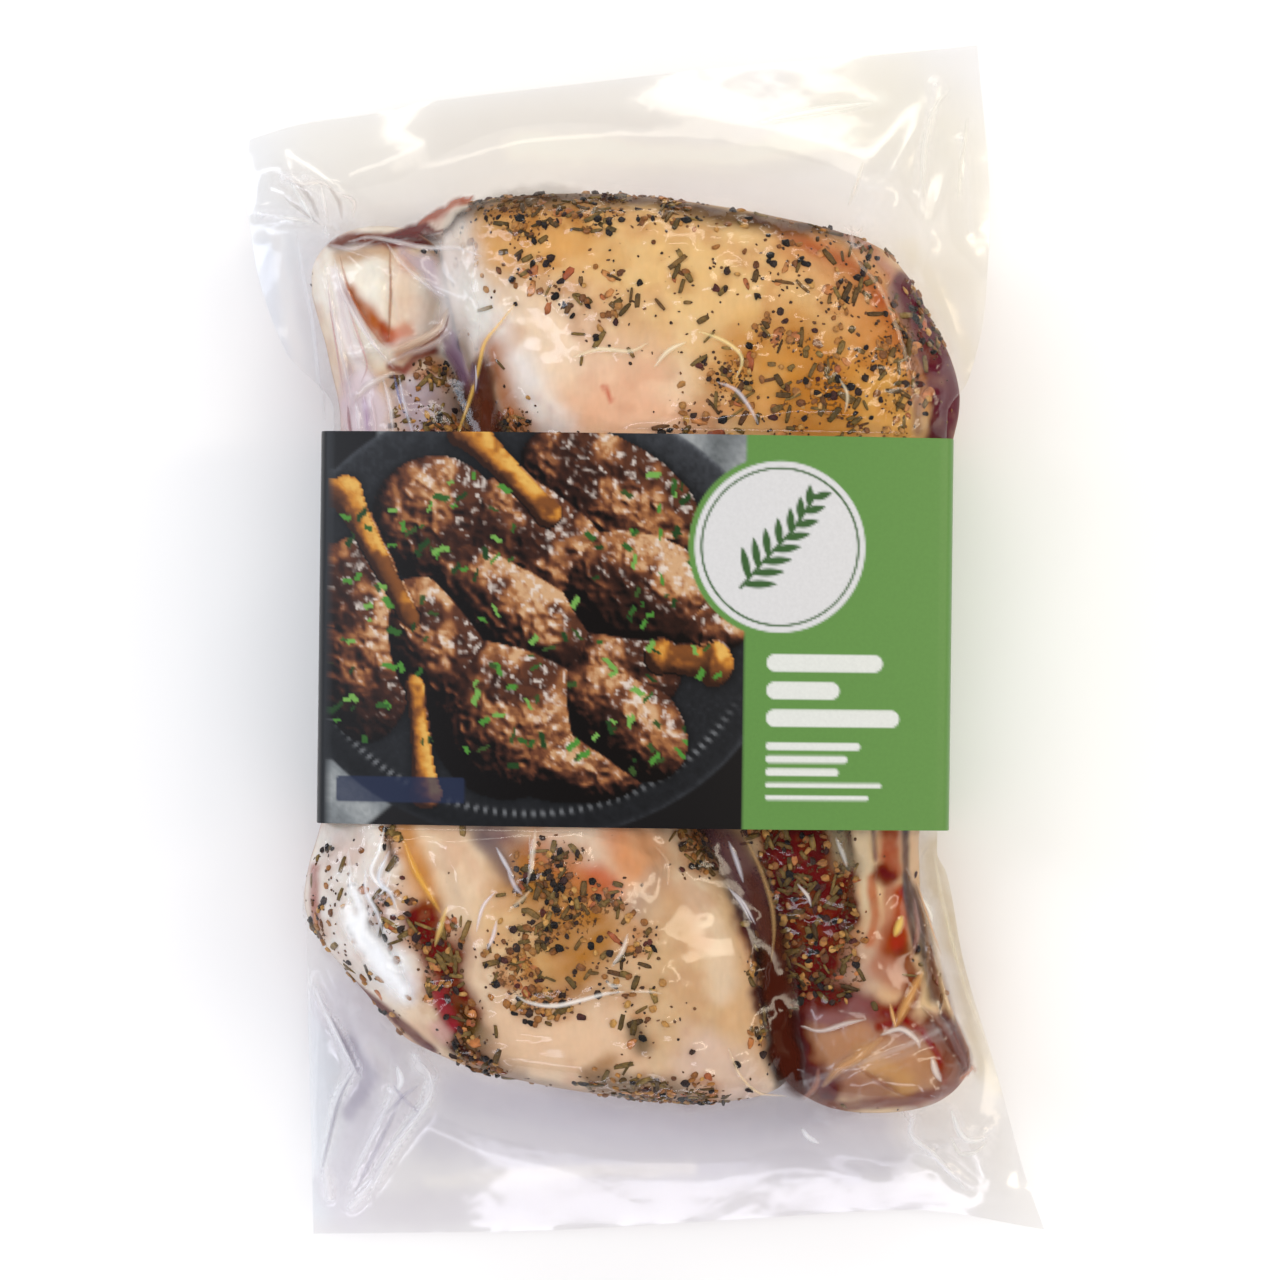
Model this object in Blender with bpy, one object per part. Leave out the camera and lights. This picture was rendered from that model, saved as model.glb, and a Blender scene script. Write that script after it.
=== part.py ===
"""A clear vacuum pouch of two seasoned lamb shanks, head to tail, with a card sleeve round its middle.

The pack lies on its back. +Z is up out of its front, +Y runs to the pouch's top edge, and +X is to the
right of someone who looks at its front. The origin is on the ground, under the middle of the pouch.
Metres throughout.
"""

import math
import random

import bmesh
import bpy
import numpy as np
from mathutils import Matrix, Vector
from mathutils.bvhtree import BVHTree

# The pouch as it lies: a common 178 x 305 mm pouch, drawn in by what it holds
POUCH_LENGTH = 0.2866
POUCH_SPREAD = 0.1928
PLY_PAIR = 0.0006  # the two sheets of film together, where they meet round the contents
GRID_ACROSS = 40
GRID_ALONG = 60

# Its outline, clockwise from the top left corner, as (x, y)
TOP_LEFT = (-0.0953, 0.1205)
TOP_RIGHT = (0.0803, POUCH_LENGTH / 2)
BOTTOM_RIGHT = (POUCH_SPREAD / 2, -0.1424)
BOTTOM_LEFT = (-0.0798, -POUCH_LENGTH / 2)
TOP_EDGE = (TOP_LEFT, (-0.0830, 0.1241), (-0.0650, 0.1268), (-0.0540, 0.1294), (0.0040, 0.1361), TOP_RIGHT)
BOTTOM_EDGE = (BOTTOM_LEFT, (-0.0400, -0.1433), (0.0180, -0.1402), (0.0650, -0.1380), BOTTOM_RIGHT)
SHOULDER_LEFT = ((-POUCH_SPREAD / 2, 0.1160), (-0.0940, 0.0920), (-0.0860, 0.0690))
SHOULDER_RIGHT = ((0.0834, 0.1030), (0.0822, 0.0814), (0.0775, 0.0620))
HIP_LEFT = ((-0.0808, -0.0600), (-0.0812, -0.0780), (-0.0806, -0.1080))
HIP_RIGHT = ((0.0722, -0.0560), (0.0767, -0.0770), (0.0853, -0.1058), (0.0920, -0.1300))

# Its rim: how high it lies, its waves (height, run and start of each), and its level inside the sleeve
RIM_HEIGHT = 0.0065
RIM_WAVE_ACROSS = (0.0016, 0.0150, 0.6)
RIM_WAVE_ALONG = (0.0012, 0.0190, -1.1)
RIM_IN_SLEEVE = 0.0215
RIM_LIFTS_FROM = 1.9  # in half lengths of the sleeve, from its middle

# The card sleeve
CARD = 0.0005
SLEEVE_WIDTH = 0.1470
SLEEVE_LENGTH = 0.0912
SLEEVE_EDGE_HEIGHT = 0.0495  # the two creases beside the front panel
SLEEVE_CROWN = 0.0075  # how far the front panel bows up between them
CROWN_REACH = 0.92  # the share of the front panel that is curved
CROWN_POINTS = 19
SLEEVE_SIDE_BOW = 0.0010
SIDE_BOW_SHARES = (0.25, 0.50, 0.75)
FRONT_CREASE_RADIUS = 0.0030
FRONT_CREASE_END = 62.0  # degrees: the front panel leaves the crease on a slope
BACK_CREASE_RADIUS = 0.0090
CREASE_POINTS = 6
SLEEVE_CENTRE = Vector((-0.0022, 0.0019, 0.0))
SLEEVE_TURN = math.radians(-0.7)

# The two ends of the sleeve's strip, glued one over the other under the pack
GLUE_LAP = 0.0160
LAP_MIDDLE = 0.0120
LAP_CLEARANCE = 0.0020
LAP_RAMP = 0.0100

# How close the pouch comes to the sleeve, and how far past the sleeve's ends it is held down for it
SLEEVE_GAP = 0.0004
HOLD_MARGIN = 0.0062

# The shanks, from the knuckle to the sawn end: share of the length, centre across, half width, height
LEFT_KNUCKLE_Y, LEFT_SAWN_Y, LEFT_SAWN_SLANT = 0.0985, -0.1085, -0.13
LEFT_SHANK = {
    "knuckle": (0.08, -0.0628, 0.0165, 0.0420),
    "ankle": (0.19, -0.0580, 0.0155, 0.0380),
    "shin": (0.30, -0.0520, 0.0200, 0.0455),
    "calf": (0.47, -0.0385, 0.0335, 0.0530),
    "thigh": (0.66, -0.0325, 0.0430, 0.0555),
    "round": (0.80, -0.0255, 0.0545, 0.0580),
    "heel": (0.90, -0.0160, 0.0500, 0.0555),
    "sawn end": (1.00, -0.0080, 0.0420, 0.0500),
}
RIGHT_KNUCKLE_Y, RIGHT_SAWN_Y, RIGHT_SAWN_SLANT = -0.1130, 0.1030, -0.10
RIGHT_SHANK = {
    "knuckle": (0.07, 0.0555, 0.0215, 0.0430),
    "ankle": (0.17, 0.0500, 0.0190, 0.0405),
    "shin": (0.28, 0.0415, 0.0240, 0.0460),
    "calf": (0.45, 0.0350, 0.0340, 0.0530),
    "thigh": (0.66, 0.0215, 0.0485, 0.0545),
    "round": (0.81, 0.0155, 0.0585, 0.0590),
    "heel": (0.91, 0.0085, 0.0565, 0.0575),
    "sawn end": (1.00, 0.0025, 0.0490, 0.0520),
}
KNUCKLE_ROUNDING = 0.0130
SAWN_ROUNDING = 0.0100
END_SECTION = 0.02  # what is left of the section at the very tip
SLANT_FROM = 0.75  # the share of the length where the sawn end's slant begins
WIDEST_SHARE = 0.42  # a shank's widest level, as a share of its height
PRESSED_FLAT = 0.0030  # how much of the underside the meat's own weight flattens
SECTION_POWER = 2.5  # a section is a superellipse, fuller than a circle
SHANK_RINGS = 48
SHANK_SIDES = 40

# The film: how sharply the vacuum bends it where it leaves the meat
FILM_BEND_RADIUS = 0.011
RELAX_STEPS = 400
PLIES_MEET = 0.40  # where its two sheets would meet, as a share of the contents' height
SETTLED = 0.0010  # the pack sinks this far onto its soft underside
ABOVE_ALL = 0.2
BELOW_ALL = -0.1

# Pleats of the film: from, to, half width, height, and how much of the height is left at the far end
PLEATS = {
    "knuckle to the top left corner": ((-0.0660, 0.0975), (-0.0870, 0.1130), 0.0035, 0.0050, 0.2),
    "knuckle to the left edge": ((-0.0760, 0.0960), (-0.0905, 0.0990), 0.0030, 0.0035, 0.2),
    "over the left knuckle": ((-0.0760, 0.0950), (-0.0440, 0.0800), 0.0025, 0.0030, 0.5),
    "down the left side": ((-0.0770, 0.0880), (-0.0690, 0.0580), 0.0028, 0.0035, 0.8),
    "below the left knuckle": ((-0.0710, 0.0660), (-0.0480, 0.0720), 0.0025, 0.0025, 0.6),
    "top right, outer": ((0.0520, 0.0990), (0.0680, 0.1280), 0.0035, 0.0040, 0.2),
    "top right, inner": ((0.0640, 0.0850), (0.0750, 0.1180), 0.0030, 0.0035, 0.2),
    "across the top": ((-0.0600, 0.1130), (0.0450, 0.1230), 0.0065, 0.0030, 0.7),
    "left ear, outer": ((-0.0780, -0.0810), (-0.0770, -0.1270), 0.0030, 0.0040, 0.5),
    "left ear, inner": ((-0.0540, -0.1020), (-0.0700, -0.1290), 0.0035, 0.0055, 0.4),
    "left ear, fold": ((-0.0690, -0.0880), (-0.0620, -0.1130), 0.0030, 0.0045, 0.5),
    "right knuckle to the corner": ((0.0690, -0.1080), (0.0860, -0.1320), 0.0035, 0.0045, 0.2),
    "over the right knuckle": ((0.0740, -0.0900), (0.0380, -0.1040), 0.0022, 0.0026, 0.7),
    "up the right shin": ((0.0720, -0.0880), (0.0650, -0.0560), 0.0025, 0.0030, 0.4),
    "below the right knuckle": ((0.0420, -0.1130), (0.0560, -0.1260), 0.0035, 0.0030, 0.2),
}

# Seasoning under the film, the largest of it: share, then length, width and height
SEASONING_SEED = 7
SEASONING_COUNT = 78
SEASONING_TRIES = 4000
SEASONING_SPACING = 0.0042
SEASONING_KINDS = {
    "rosemary needle": (0.50, 0.0062, 0.0020, 0.0016),
    "cracked pepper": (0.30, 0.0030, 0.0026, 0.0020),
    "garlic granule": (0.20, 0.0036, 0.0032, 0.0016),
}
SIZE_SPREAD = 0.20
STEEPEST_NORMAL_Z = 0.45  # it shows where the film faces up at least this much, and this high
LOWEST_SEASONING = 0.030
# Where it lies thickest: centre, half width across and along
SEASONED_PATCHES = {
    "right round": ((0.0450, 0.0650), (0.0240, 0.0160)),
    "sawn edge": ((-0.0100, 0.0920), (0.0340, 0.0080)),
    "left crease": ((-0.0500, 0.0560), (0.0080, 0.0060)),
    "left round": ((-0.0220, -0.0720), (0.0340, 0.0180)),
    "right shin": ((0.0450, -0.0700), (0.0090, 0.0190)),
    "left heel": ((-0.0520, -0.0880), (0.0090, 0.0080)),
}
PATCH_SPREAD = 0.7  # the draw's standard deviation, in half widths of its patch

SMOOTH_UP_TO = math.radians(35)
MATERIALS = {
    "clear_pouch": ((0.80, 0.62, 0.50, 1.0), 0.18),
    "printed_card": ((0.13, 0.36, 0.07, 1.0), 0.42),
}


def clear_scene():
    for old in list(bpy.data.objects):
        bpy.data.objects.remove(old)


def material(name):
    colour, roughness = MATERIALS[name]
    made = bpy.data.materials.new(name)
    made.use_nodes = True
    shader = made.node_tree.nodes["Principled BSDF"]
    shader.inputs["Base Color"].default_value = colour
    shader.inputs["Roughness"].default_value = roughness
    shader.inputs["Metallic"].default_value = 0.0
    return made


def linked(name, mesh, finish):
    """The bmesh as an object of this name in the scene, with its material."""
    mesh.normal_update()
    shape = bpy.data.meshes.new(name)
    mesh.to_mesh(shape)
    mesh.free()
    shape.materials.append(material(finish))
    made = bpy.data.objects.new(name, shape)
    bpy.context.scene.collection.objects.link(made)
    return made


def smooth_through(knots, values, at):
    """A smooth curve through the knots that never swings past them, read at the places `at`."""
    knots = np.asarray(knots, float)
    values = np.asarray(values, float)
    at = np.clip(np.asarray(at, float), knots[0], knots[-1])
    steps = np.diff(knots)
    slopes = np.diff(values) / steps
    tangents = np.empty_like(values)
    tangents[0], tangents[-1] = slopes[0], slopes[-1]
    same_way = slopes[:-1] * slopes[1:] > 0
    spread = np.where(same_way, np.abs(slopes[:-1]) + np.abs(slopes[1:]), 1.0)
    inner = 2 * slopes[:-1] * slopes[1:] / spread * np.sign(slopes[1:])
    tangents[1:-1] = np.where(same_way, inner, 0.0)
    index = np.clip(np.searchsorted(knots, at, side="right") - 1, 0, len(steps) - 1)
    t = (at - knots[index]) / steps[index]
    start, end = values[index], values[index + 1]
    pull_start, pull_end = tangents[index] * steps[index], tangents[index + 1] * steps[index]
    return (
        start * (2 * t**3 - 3 * t**2 + 1)
        + pull_start * (t**3 - 2 * t**2 + t)
        + end * (3 * t**2 - 2 * t**3)
        + pull_end * (t**3 - t**2)
    )


def sleeve_frame(x, y):
    """Places across and along the sleeve, from its own middle."""
    across, along = x - SLEEVE_CENTRE.x, y - SLEEVE_CENTRE.y
    c, s = math.cos(-SLEEVE_TURN), math.sin(-SLEEVE_TURN)
    return across * c - along * s, across * s + along * c


def waist(side):
    """Where the sleeve draws in one side of the pouch, as edge points from top to bottom."""
    inside = SLEEVE_WIDTH / 2 - CARD - SLEEVE_GAP
    reach = SLEEVE_LENGTH / 2 + HOLD_MARGIN
    turn = Matrix.Rotation(SLEEVE_TURN, 3, "Z")
    places = [turn @ Vector((side * inside, along, 0.0)) + SLEEVE_CENTRE for along in (reach, 0.0, -reach)]
    return [(place.x, place.y) for place in places]


def side_edge(corner_top, shoulder, side, hip, corner_bottom):
    """One side edge of the pouch as (heights, places across), going up."""
    points = [corner_top, *shoulder, *waist(side), *hip, corner_bottom]
    points.sort(key=lambda point: point[1])
    return [y for _, y in points], [x for x, _ in points]


def pouch_plan():
    """The pouch's grid in plan, x and y, between its four edges."""
    u = np.linspace(0, 1, GRID_ACROSS + 1)[:, None]
    v = np.linspace(0, 1, GRID_ALONG + 1)[None, :]
    left_y = BOTTOM_LEFT[1] + (TOP_LEFT[1] - BOTTOM_LEFT[1]) * v
    right_y = BOTTOM_RIGHT[1] + (TOP_RIGHT[1] - BOTTOM_RIGHT[1]) * v
    left_x = smooth_through(*side_edge(TOP_LEFT, SHOULDER_LEFT, -1, HIP_LEFT, BOTTOM_LEFT), left_y)
    right_x = smooth_through(*side_edge(TOP_RIGHT, SHOULDER_RIGHT, 1, HIP_RIGHT, BOTTOM_RIGHT), right_y)
    bottom_x = BOTTOM_LEFT[0] + (BOTTOM_RIGHT[0] - BOTTOM_LEFT[0]) * u
    top_x = TOP_LEFT[0] + (TOP_RIGHT[0] - TOP_LEFT[0]) * u
    bottom_y = smooth_through(*zip(*BOTTOM_EDGE), bottom_x)
    top_y = smooth_through(*zip(*TOP_EDGE), top_x)

    def patch(left, right, bottom, top, axis):
        corners = (
            (1 - u) * (1 - v) * BOTTOM_LEFT[axis]
            + u * (1 - v) * BOTTOM_RIGHT[axis]
            + (1 - u) * v * TOP_LEFT[axis]
            + u * v * TOP_RIGHT[axis]
        )
        return (1 - u) * left + u * right + (1 - v) * bottom + v * top - corners

    return patch(left_x, right_x, bottom_x, top_x, 0), patch(left_y, right_y, bottom_y, top_y, 1)


def end_rounding(from_end, radius):
    """How much of its full section a shank has, this far from its end."""
    t = np.clip(from_end / radius, 0.0, 1.0)
    return np.sqrt(1 - (1 - t) ** 2)


def shank_body(stations, knuckle_y, sawn_y, slant):
    """A shank, as a tree to measure its heights on: superellipse sections along a bent, swelling limb."""
    shares, centres, halves, heights = zip(*stations.values())
    length = abs(sawn_y - knuckle_y)
    share = (1 - np.cos(np.linspace(0, np.pi, SHANK_RINGS))) / 2
    centre = smooth_through(shares, centres, share)
    half = smooth_through(shares, halves, share)
    height = smooth_through(shares, heights, share)
    kept = end_rounding(share * length, KNUCKLE_ROUNDING) * end_rounding((1 - share) * length, SAWN_ROUNDING)
    kept = np.maximum(kept, END_SECTION)
    sawn = np.clip((share - SLANT_FROM) / (1 - SLANT_FROM), 0.0, 1.0)
    angle = np.linspace(0, 2 * np.pi, SHANK_SIDES, endpoint=False)
    power = 2 / SECTION_POWER
    across = np.sign(np.cos(angle)) * np.abs(np.cos(angle)) ** power
    up = np.sign(np.sin(angle)) * np.abs(np.sin(angle)) ** power
    widest = WIDEST_SHARE * height
    reach = np.where(up[None, :] > 0, (height - widest)[:, None], (widest + PRESSED_FLAT)[:, None])
    x = centre[:, None] + half[:, None] * kept[:, None] * across[None, :]
    y = np.broadcast_to((knuckle_y + (sawn_y - knuckle_y) * share)[:, None], x.shape)
    y = y + slant * sawn[:, None] * (x - centre[:, None])
    z = np.maximum(widest[:, None] + reach * kept[:, None] * up[None, :], PLY_PAIR / 2)
    points = np.stack([x, y, z], axis=-1).reshape(-1, 3)
    faces = []
    for ring in range(SHANK_RINGS - 1):
        low, high = ring * SHANK_SIDES, (ring + 1) * SHANK_SIDES
        for side in range(SHANK_SIDES):
            after = (side + 1) % SHANK_SIDES
            faces.append((low + side, low + after, high + after, high + side))
    last = (SHANK_RINGS - 1) * SHANK_SIDES
    faces.append(tuple(range(SHANK_SIDES)))
    faces.append(tuple(range(last, last + SHANK_SIDES)))
    return BVHTree.FromPolygons([tuple(point) for point in points.tolist()], faces)


def heights_over(x, y, bodies):
    """The contents' highest and lowest level at each place of the grid, NaN where there are none."""
    up, down = Vector((0, 0, 1)), Vector((0, 0, -1))
    top, bottom = np.full(x.shape, np.nan), np.full(x.shape, np.nan)
    for index in np.ndindex(x.shape):
        for body in bodies:
            upper = body.ray_cast(Vector((x[index], y[index], ABOVE_ALL)), down)[0]
            if upper is None:
                continue
            lower = body.ray_cast(Vector((x[index], y[index], BELOW_ALL)), up)[0]
            top[index] = np.nanmax([top[index], upper.z])
            bottom[index] = np.nanmin([bottom[index], lower.z])
    return top, bottom


def spread_out(field):
    """Each inner place's mean over its four neighbours."""
    mean = field.copy()
    mean[1:-1, 1:-1] = (field[:-2, 1:-1] + field[2:, 1:-1] + field[1:-1, :-2] + field[1:-1, 2:]) / 4
    return mean


def rim_height(x, y):
    """The pouch's edge waves a little above the ground, and is lifted inside the sleeve."""
    wave = np.zeros_like(x)
    for place, (height, run, start) in ((x, RIM_WAVE_ACROSS), (y, RIM_WAVE_ALONG)):
        wave += height * np.sin(place / run + start)
    _, along = sleeve_frame(x, y)
    lift = np.clip(RIM_LIFTS_FROM - np.abs(along) / (SLEEVE_LENGTH / 2), 0.0, 1.0)
    lift = lift * lift * (3 - 2 * lift)
    return (RIM_HEIGHT + wave) * (1 - lift) + RIM_IN_SLEEVE * lift


def pleat_field(x, y):
    """How far the pleats stand up, as ridges that fade along their length."""
    field = np.zeros_like(x)
    for start, end, half_width, height, left_over in PLEATS.values():
        run = np.subtract(end, start)
        along = np.clip(((x - start[0]) * run[0] + (y - start[1]) * run[1]) / (run @ run), 0.0, 1.0)
        away = np.hypot(x - start[0] - along * run[0], y - start[1] - along * run[1])
        ridge = height * (1 + (left_over - 1) * along) * np.exp(-((away / half_width) ** 2))
        field = np.maximum(field, ridge)
    return field


def under_front(x, y):
    """The level just under the sleeve's front panel, and True where the pouch is inside the sleeve."""
    across, along = sleeve_frame(x, y)
    inside = np.abs(along) < SLEEVE_LENGTH / 2 + HOLD_MARGIN
    bow = SLEEVE_CROWN * (1 - (across / (SLEEVE_WIDTH / 2)) ** 2)
    return SLEEVE_EDGE_HEIGHT + bow - CARD - SLEEVE_GAP, inside


def film_heights(x, y):
    """The pouch's front and back film over the grid, drawn down onto the shanks by the vacuum."""
    shanks = (
        shank_body(LEFT_SHANK, LEFT_KNUCKLE_Y, LEFT_SAWN_Y, LEFT_SAWN_SLANT),
        shank_body(RIGHT_SHANK, RIGHT_KNUCKLE_Y, RIGHT_SAWN_Y, RIGHT_SAWN_SLANT),
    )
    top, bottom = heights_over(x, y, shanks)
    full = ~np.isnan(top)
    middle = np.where(full, (top + bottom) * PLIES_MEET, rim_height(x, y))
    inner = np.zeros(x.shape, bool)
    inner[1:-1, 1:-1] = True
    for _ in range(RELAX_STEPS):
        middle = np.where(inner & ~full, spread_out(middle), middle)
    pull = (POUCH_LENGTH / GRID_ALONG) ** 2 / (4 * FILM_BEND_RADIUS)
    lowest_front = np.maximum(np.nan_to_num(top), middle + PLY_PAIR / 2)
    highest_back = np.minimum(np.nan_to_num(bottom, nan=ABOVE_ALL), middle - PLY_PAIR / 2)
    front, back = lowest_front.copy(), highest_back.copy()
    for _ in range(RELAX_STEPS):
        front = np.where(inner, np.maximum(spread_out(front) - pull, lowest_front), front)
        back = np.where(inner, np.minimum(spread_out(back) + pull, highest_back), back)
    pleats = pleat_field(x, y) * inner
    front = front + pleats
    back = np.where(front - back < 2 * (pleats + PLY_PAIR), back + pleats, back)
    ceiling, held = under_front(x, y)
    front = np.where(held, np.minimum(front, ceiling), front)
    ground = np.where(held, 2 * CARD + SLEEVE_GAP, 0.0)
    back = np.maximum(back - SETTLED, ground)
    return np.maximum(front, back + PLY_PAIR), back


def pouch_mesh():
    """The pouch and its contents as one closed mesh: front and back on one grid, joined round the rim."""
    x, y = pouch_plan()
    rows, columns = x.shape
    mesh = bmesh.new()
    films = []
    for level in film_heights(x, y):
        places = np.stack([x, y, level], axis=-1)
        films.append([[mesh.verts.new(place) for place in row] for row in places.tolist()])
    front, back = films
    for i in range(rows - 1):
        for j in range(columns - 1):
            round_once = ((i, j), (i + 1, j), (i + 1, j + 1), (i, j + 1))
            for film, order in ((front, (0, 1, 2, 3)), (back, (0, 3, 2, 1))):
                first, second, third, fourth = [film[round_once[k][0]][round_once[k][1]] for k in order]
                mesh.faces.new((first, second, third))
                mesh.faces.new((first, third, fourth))
    rim = [(i, 0) for i in range(rows)]
    rim += [(rows - 1, j) for j in range(1, columns)]
    rim += [(i, columns - 1) for i in range(rows - 2, -1, -1)]
    rim += [(0, j) for j in range(columns - 2, 0, -1)]
    for (i, j), (next_i, next_j) in zip(rim, rim[1:] + rim[:1]):
        mesh.faces.new((back[i][j], back[next_i][next_j], front[next_i][next_j]))
        mesh.faces.new((back[i][j], front[next_i][next_j], front[i][j]))
    return mesh


def seasoning_places(surface):
    """Seeded places for the largest seasoning: (its sizes, place, normal, turn)."""
    draw = random.Random(SEASONING_SEED)
    kinds = list(SEASONING_KINDS.values())
    patches = list(SEASONED_PATCHES.values())
    area = [half[0] * half[1] for _, half in patches]
    places = []
    for _ in range(SEASONING_TRIES):
        if len(places) == SEASONING_COUNT:
            break
        centre, half = draw.choices(patches, weights=area)[0]
        x, y = (draw.gauss(c, h * PATCH_SPREAD) for c, h in zip(centre, half))
        _, *sizes = draw.choices(kinds, weights=[kind[0] for kind in kinds])[0]
        scale = draw.uniform(1 - SIZE_SPREAD, 1 + SIZE_SPREAD)
        turn = draw.uniform(0, math.tau)
        place, normal, _, _ = surface.ray_cast(Vector((x, y, ABOVE_ALL)), Vector((0, 0, -1)))
        _, along = sleeve_frame(x, y)
        if place is None or abs(along) < SLEEVE_LENGTH / 2 + HOLD_MARGIN:
            continue
        if normal.z < STEEPEST_NORMAL_Z or place.z < LOWEST_SEASONING:
            continue
        if any((place - other).length < SEASONING_SPACING for _, other, _, _ in places):
            continue
        places.append((Vector(sizes) * scale, place, normal, turn))
    return places


def seasoning_bits(surface, collection):
    """Faceted grains and needles, each sunk half way into the film over it."""
    for number, (sizes, place, normal, turn) in enumerate(seasoning_places(surface)):
        mesh = bmesh.new()
        bmesh.ops.create_icosphere(mesh, subdivisions=1, radius=0.5)
        bmesh.ops.scale(mesh, vec=sizes, verts=mesh.verts)
        standing = normal.to_track_quat("Z", "Y").to_matrix().to_4x4()
        lying = Matrix.Translation(place) @ standing @ Matrix.Rotation(turn, 4, "Z")
        bmesh.ops.transform(mesh, matrix=lying, verts=mesh.verts)
        shape = bpy.data.meshes.new(f"seasoning_{number:02d}")
        mesh.to_mesh(shape)
        mesh.free()
        collection.objects.link(bpy.data.objects.new(shape.name, shape))


def fuse(target, collection):
    """Joins everything in the collection to the target, applies that, and removes the loose pieces."""
    union = target.modifiers.new("seasoning", "BOOLEAN")
    union.operation = "UNION"
    union.operand_type = "COLLECTION"
    union.collection = collection
    union.solver = "EXACT"
    bpy.context.view_layer.update()
    graph = bpy.context.evaluated_depsgraph_get()
    fused = bpy.data.meshes.new_from_object(target.evaluated_get(graph), depsgraph=graph)
    target.modifiers.clear()
    target.data = fused
    for piece in list(collection.objects):
        bpy.data.objects.remove(piece)
    bpy.data.collections.remove(collection)


def pouch():
    mesh = pouch_mesh()
    mesh.normal_update()
    surface = BVHTree.FromBMesh(mesh)
    bag = linked("bag", mesh, "clear_pouch")
    bits = bpy.data.collections.new("seasoning")
    bpy.context.scene.collection.children.link(bits)
    seasoning_bits(surface, bits)
    fuse(bag, bits)
    return bag


def crease(centre, radius, start, end):
    """Points on a round crease in the sleeve's section, angles in degrees from +X."""
    angles = np.radians(np.linspace(start, end, CREASE_POINTS))
    return [(centre[0] + radius * math.cos(a), centre[1] + radius * math.sin(a)) for a in angles]


def sleeve_wall(inset):
    """The sleeve's section from the back panel up the right side, over the front and down the left side."""
    half = SLEEVE_WIDTH / 2 - inset
    level = SLEEVE_EDGE_HEIGHT - inset
    back, front = BACK_CREASE_RADIUS - inset, FRONT_CREASE_RADIUS - inset
    foot, head = inset + back, level - front
    right = crease((half - back, foot), back, -90, 0)
    for t in SIDE_BOW_SHARES:
        right.append((half + SLEEVE_SIDE_BOW * math.sin(math.pi * t), foot + (head - foot) * t))
    right += crease((half - front, head), front, 0, FRONT_CREASE_END)
    steps = np.linspace(CROWN_REACH, -CROWN_REACH, CROWN_POINTS)
    crown = [((half - front) * t, level + SLEEVE_CROWN * (1 - t * t)) for t in steps]
    left = [(-x, z) for x, z in reversed(right)]
    return right + crown + left


def sleeve():
    """A strip of card bent into a loop, its two ends lapped and glued under the pack."""
    lap_left, lap_right = LAP_MIDDLE - GLUE_LAP / 2, LAP_MIDDLE + GLUE_LAP / 2 + LAP_CLEARANCE
    ramp_end = lap_right + LAP_RAMP
    # Under the pack the right end rises by one thickness of card and runs over the left end
    step_out = [(lap_right - LAP_CLEARANCE, 0.0), (lap_right - LAP_CLEARANCE, CARD)]
    step_out += [(lap_right, CARD), (ramp_end, 0.0)]
    step_in = [(lap_left, CARD), (lap_left, 2 * CARD), (lap_right, 2 * CARD), (ramp_end, CARD)]
    outlines = (sleeve_wall(0.0) + step_out, sleeve_wall(CARD) + step_in)
    mesh = bmesh.new()
    ends = []
    for y in (-SLEEVE_LENGTH / 2, SLEEVE_LENGTH / 2):
        ends.append([[mesh.verts.new((x, y, z)) for x, z in outline] for outline in outlines])
    for near, far in zip(*ends):
        for k in range(len(near)):
            after = (k + 1) % len(near)
            mesh.faces.new((near[k], near[after], far[after], far[k]))
    for end in ends:
        edges = []
        for loop in end:
            edges += [mesh.edges.get(pair) for pair in zip(loop, loop[1:] + loop[:1])]
        bmesh.ops.triangle_fill(mesh, use_beauty=True, edges=edges)
    bmesh.ops.recalc_face_normals(mesh, faces=mesh.faces)
    card = linked("sleeve", mesh, "printed_card")
    card.location = SLEEVE_CENTRE
    card.rotation_euler.z = SLEEVE_TURN
    card.data.shade_smooth()
    card.data.set_sharp_from_angle(angle=SMOOTH_UP_TO)
    return card


def main():
    clear_scene()
    pouch()
    sleeve()


main()
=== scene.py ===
"""A clear vacuum pouch of two seasoned lamb shanks, head to tail, with a printed card sleeve round it."""

import math

import bpy
import numpy as np
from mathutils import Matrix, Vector
from mathutils.bvhtree import BVHTree
from mathutils.kdtree import KDTree


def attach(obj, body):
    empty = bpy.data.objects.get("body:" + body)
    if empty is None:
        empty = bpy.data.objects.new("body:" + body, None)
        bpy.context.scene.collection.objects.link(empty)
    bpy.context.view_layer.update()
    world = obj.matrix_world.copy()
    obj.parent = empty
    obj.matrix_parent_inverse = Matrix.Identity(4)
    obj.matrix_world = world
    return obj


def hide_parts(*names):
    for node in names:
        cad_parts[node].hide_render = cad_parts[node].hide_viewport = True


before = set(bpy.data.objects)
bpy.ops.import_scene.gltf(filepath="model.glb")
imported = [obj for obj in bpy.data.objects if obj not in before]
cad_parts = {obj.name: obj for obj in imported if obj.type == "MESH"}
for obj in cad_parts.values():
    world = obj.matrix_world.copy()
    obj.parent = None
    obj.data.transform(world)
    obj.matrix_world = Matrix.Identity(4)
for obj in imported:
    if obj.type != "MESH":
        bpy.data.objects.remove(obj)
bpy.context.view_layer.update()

# Lengths are in millimetres up to where a mesh is made, which is in metres
MM = 0.001

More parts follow.
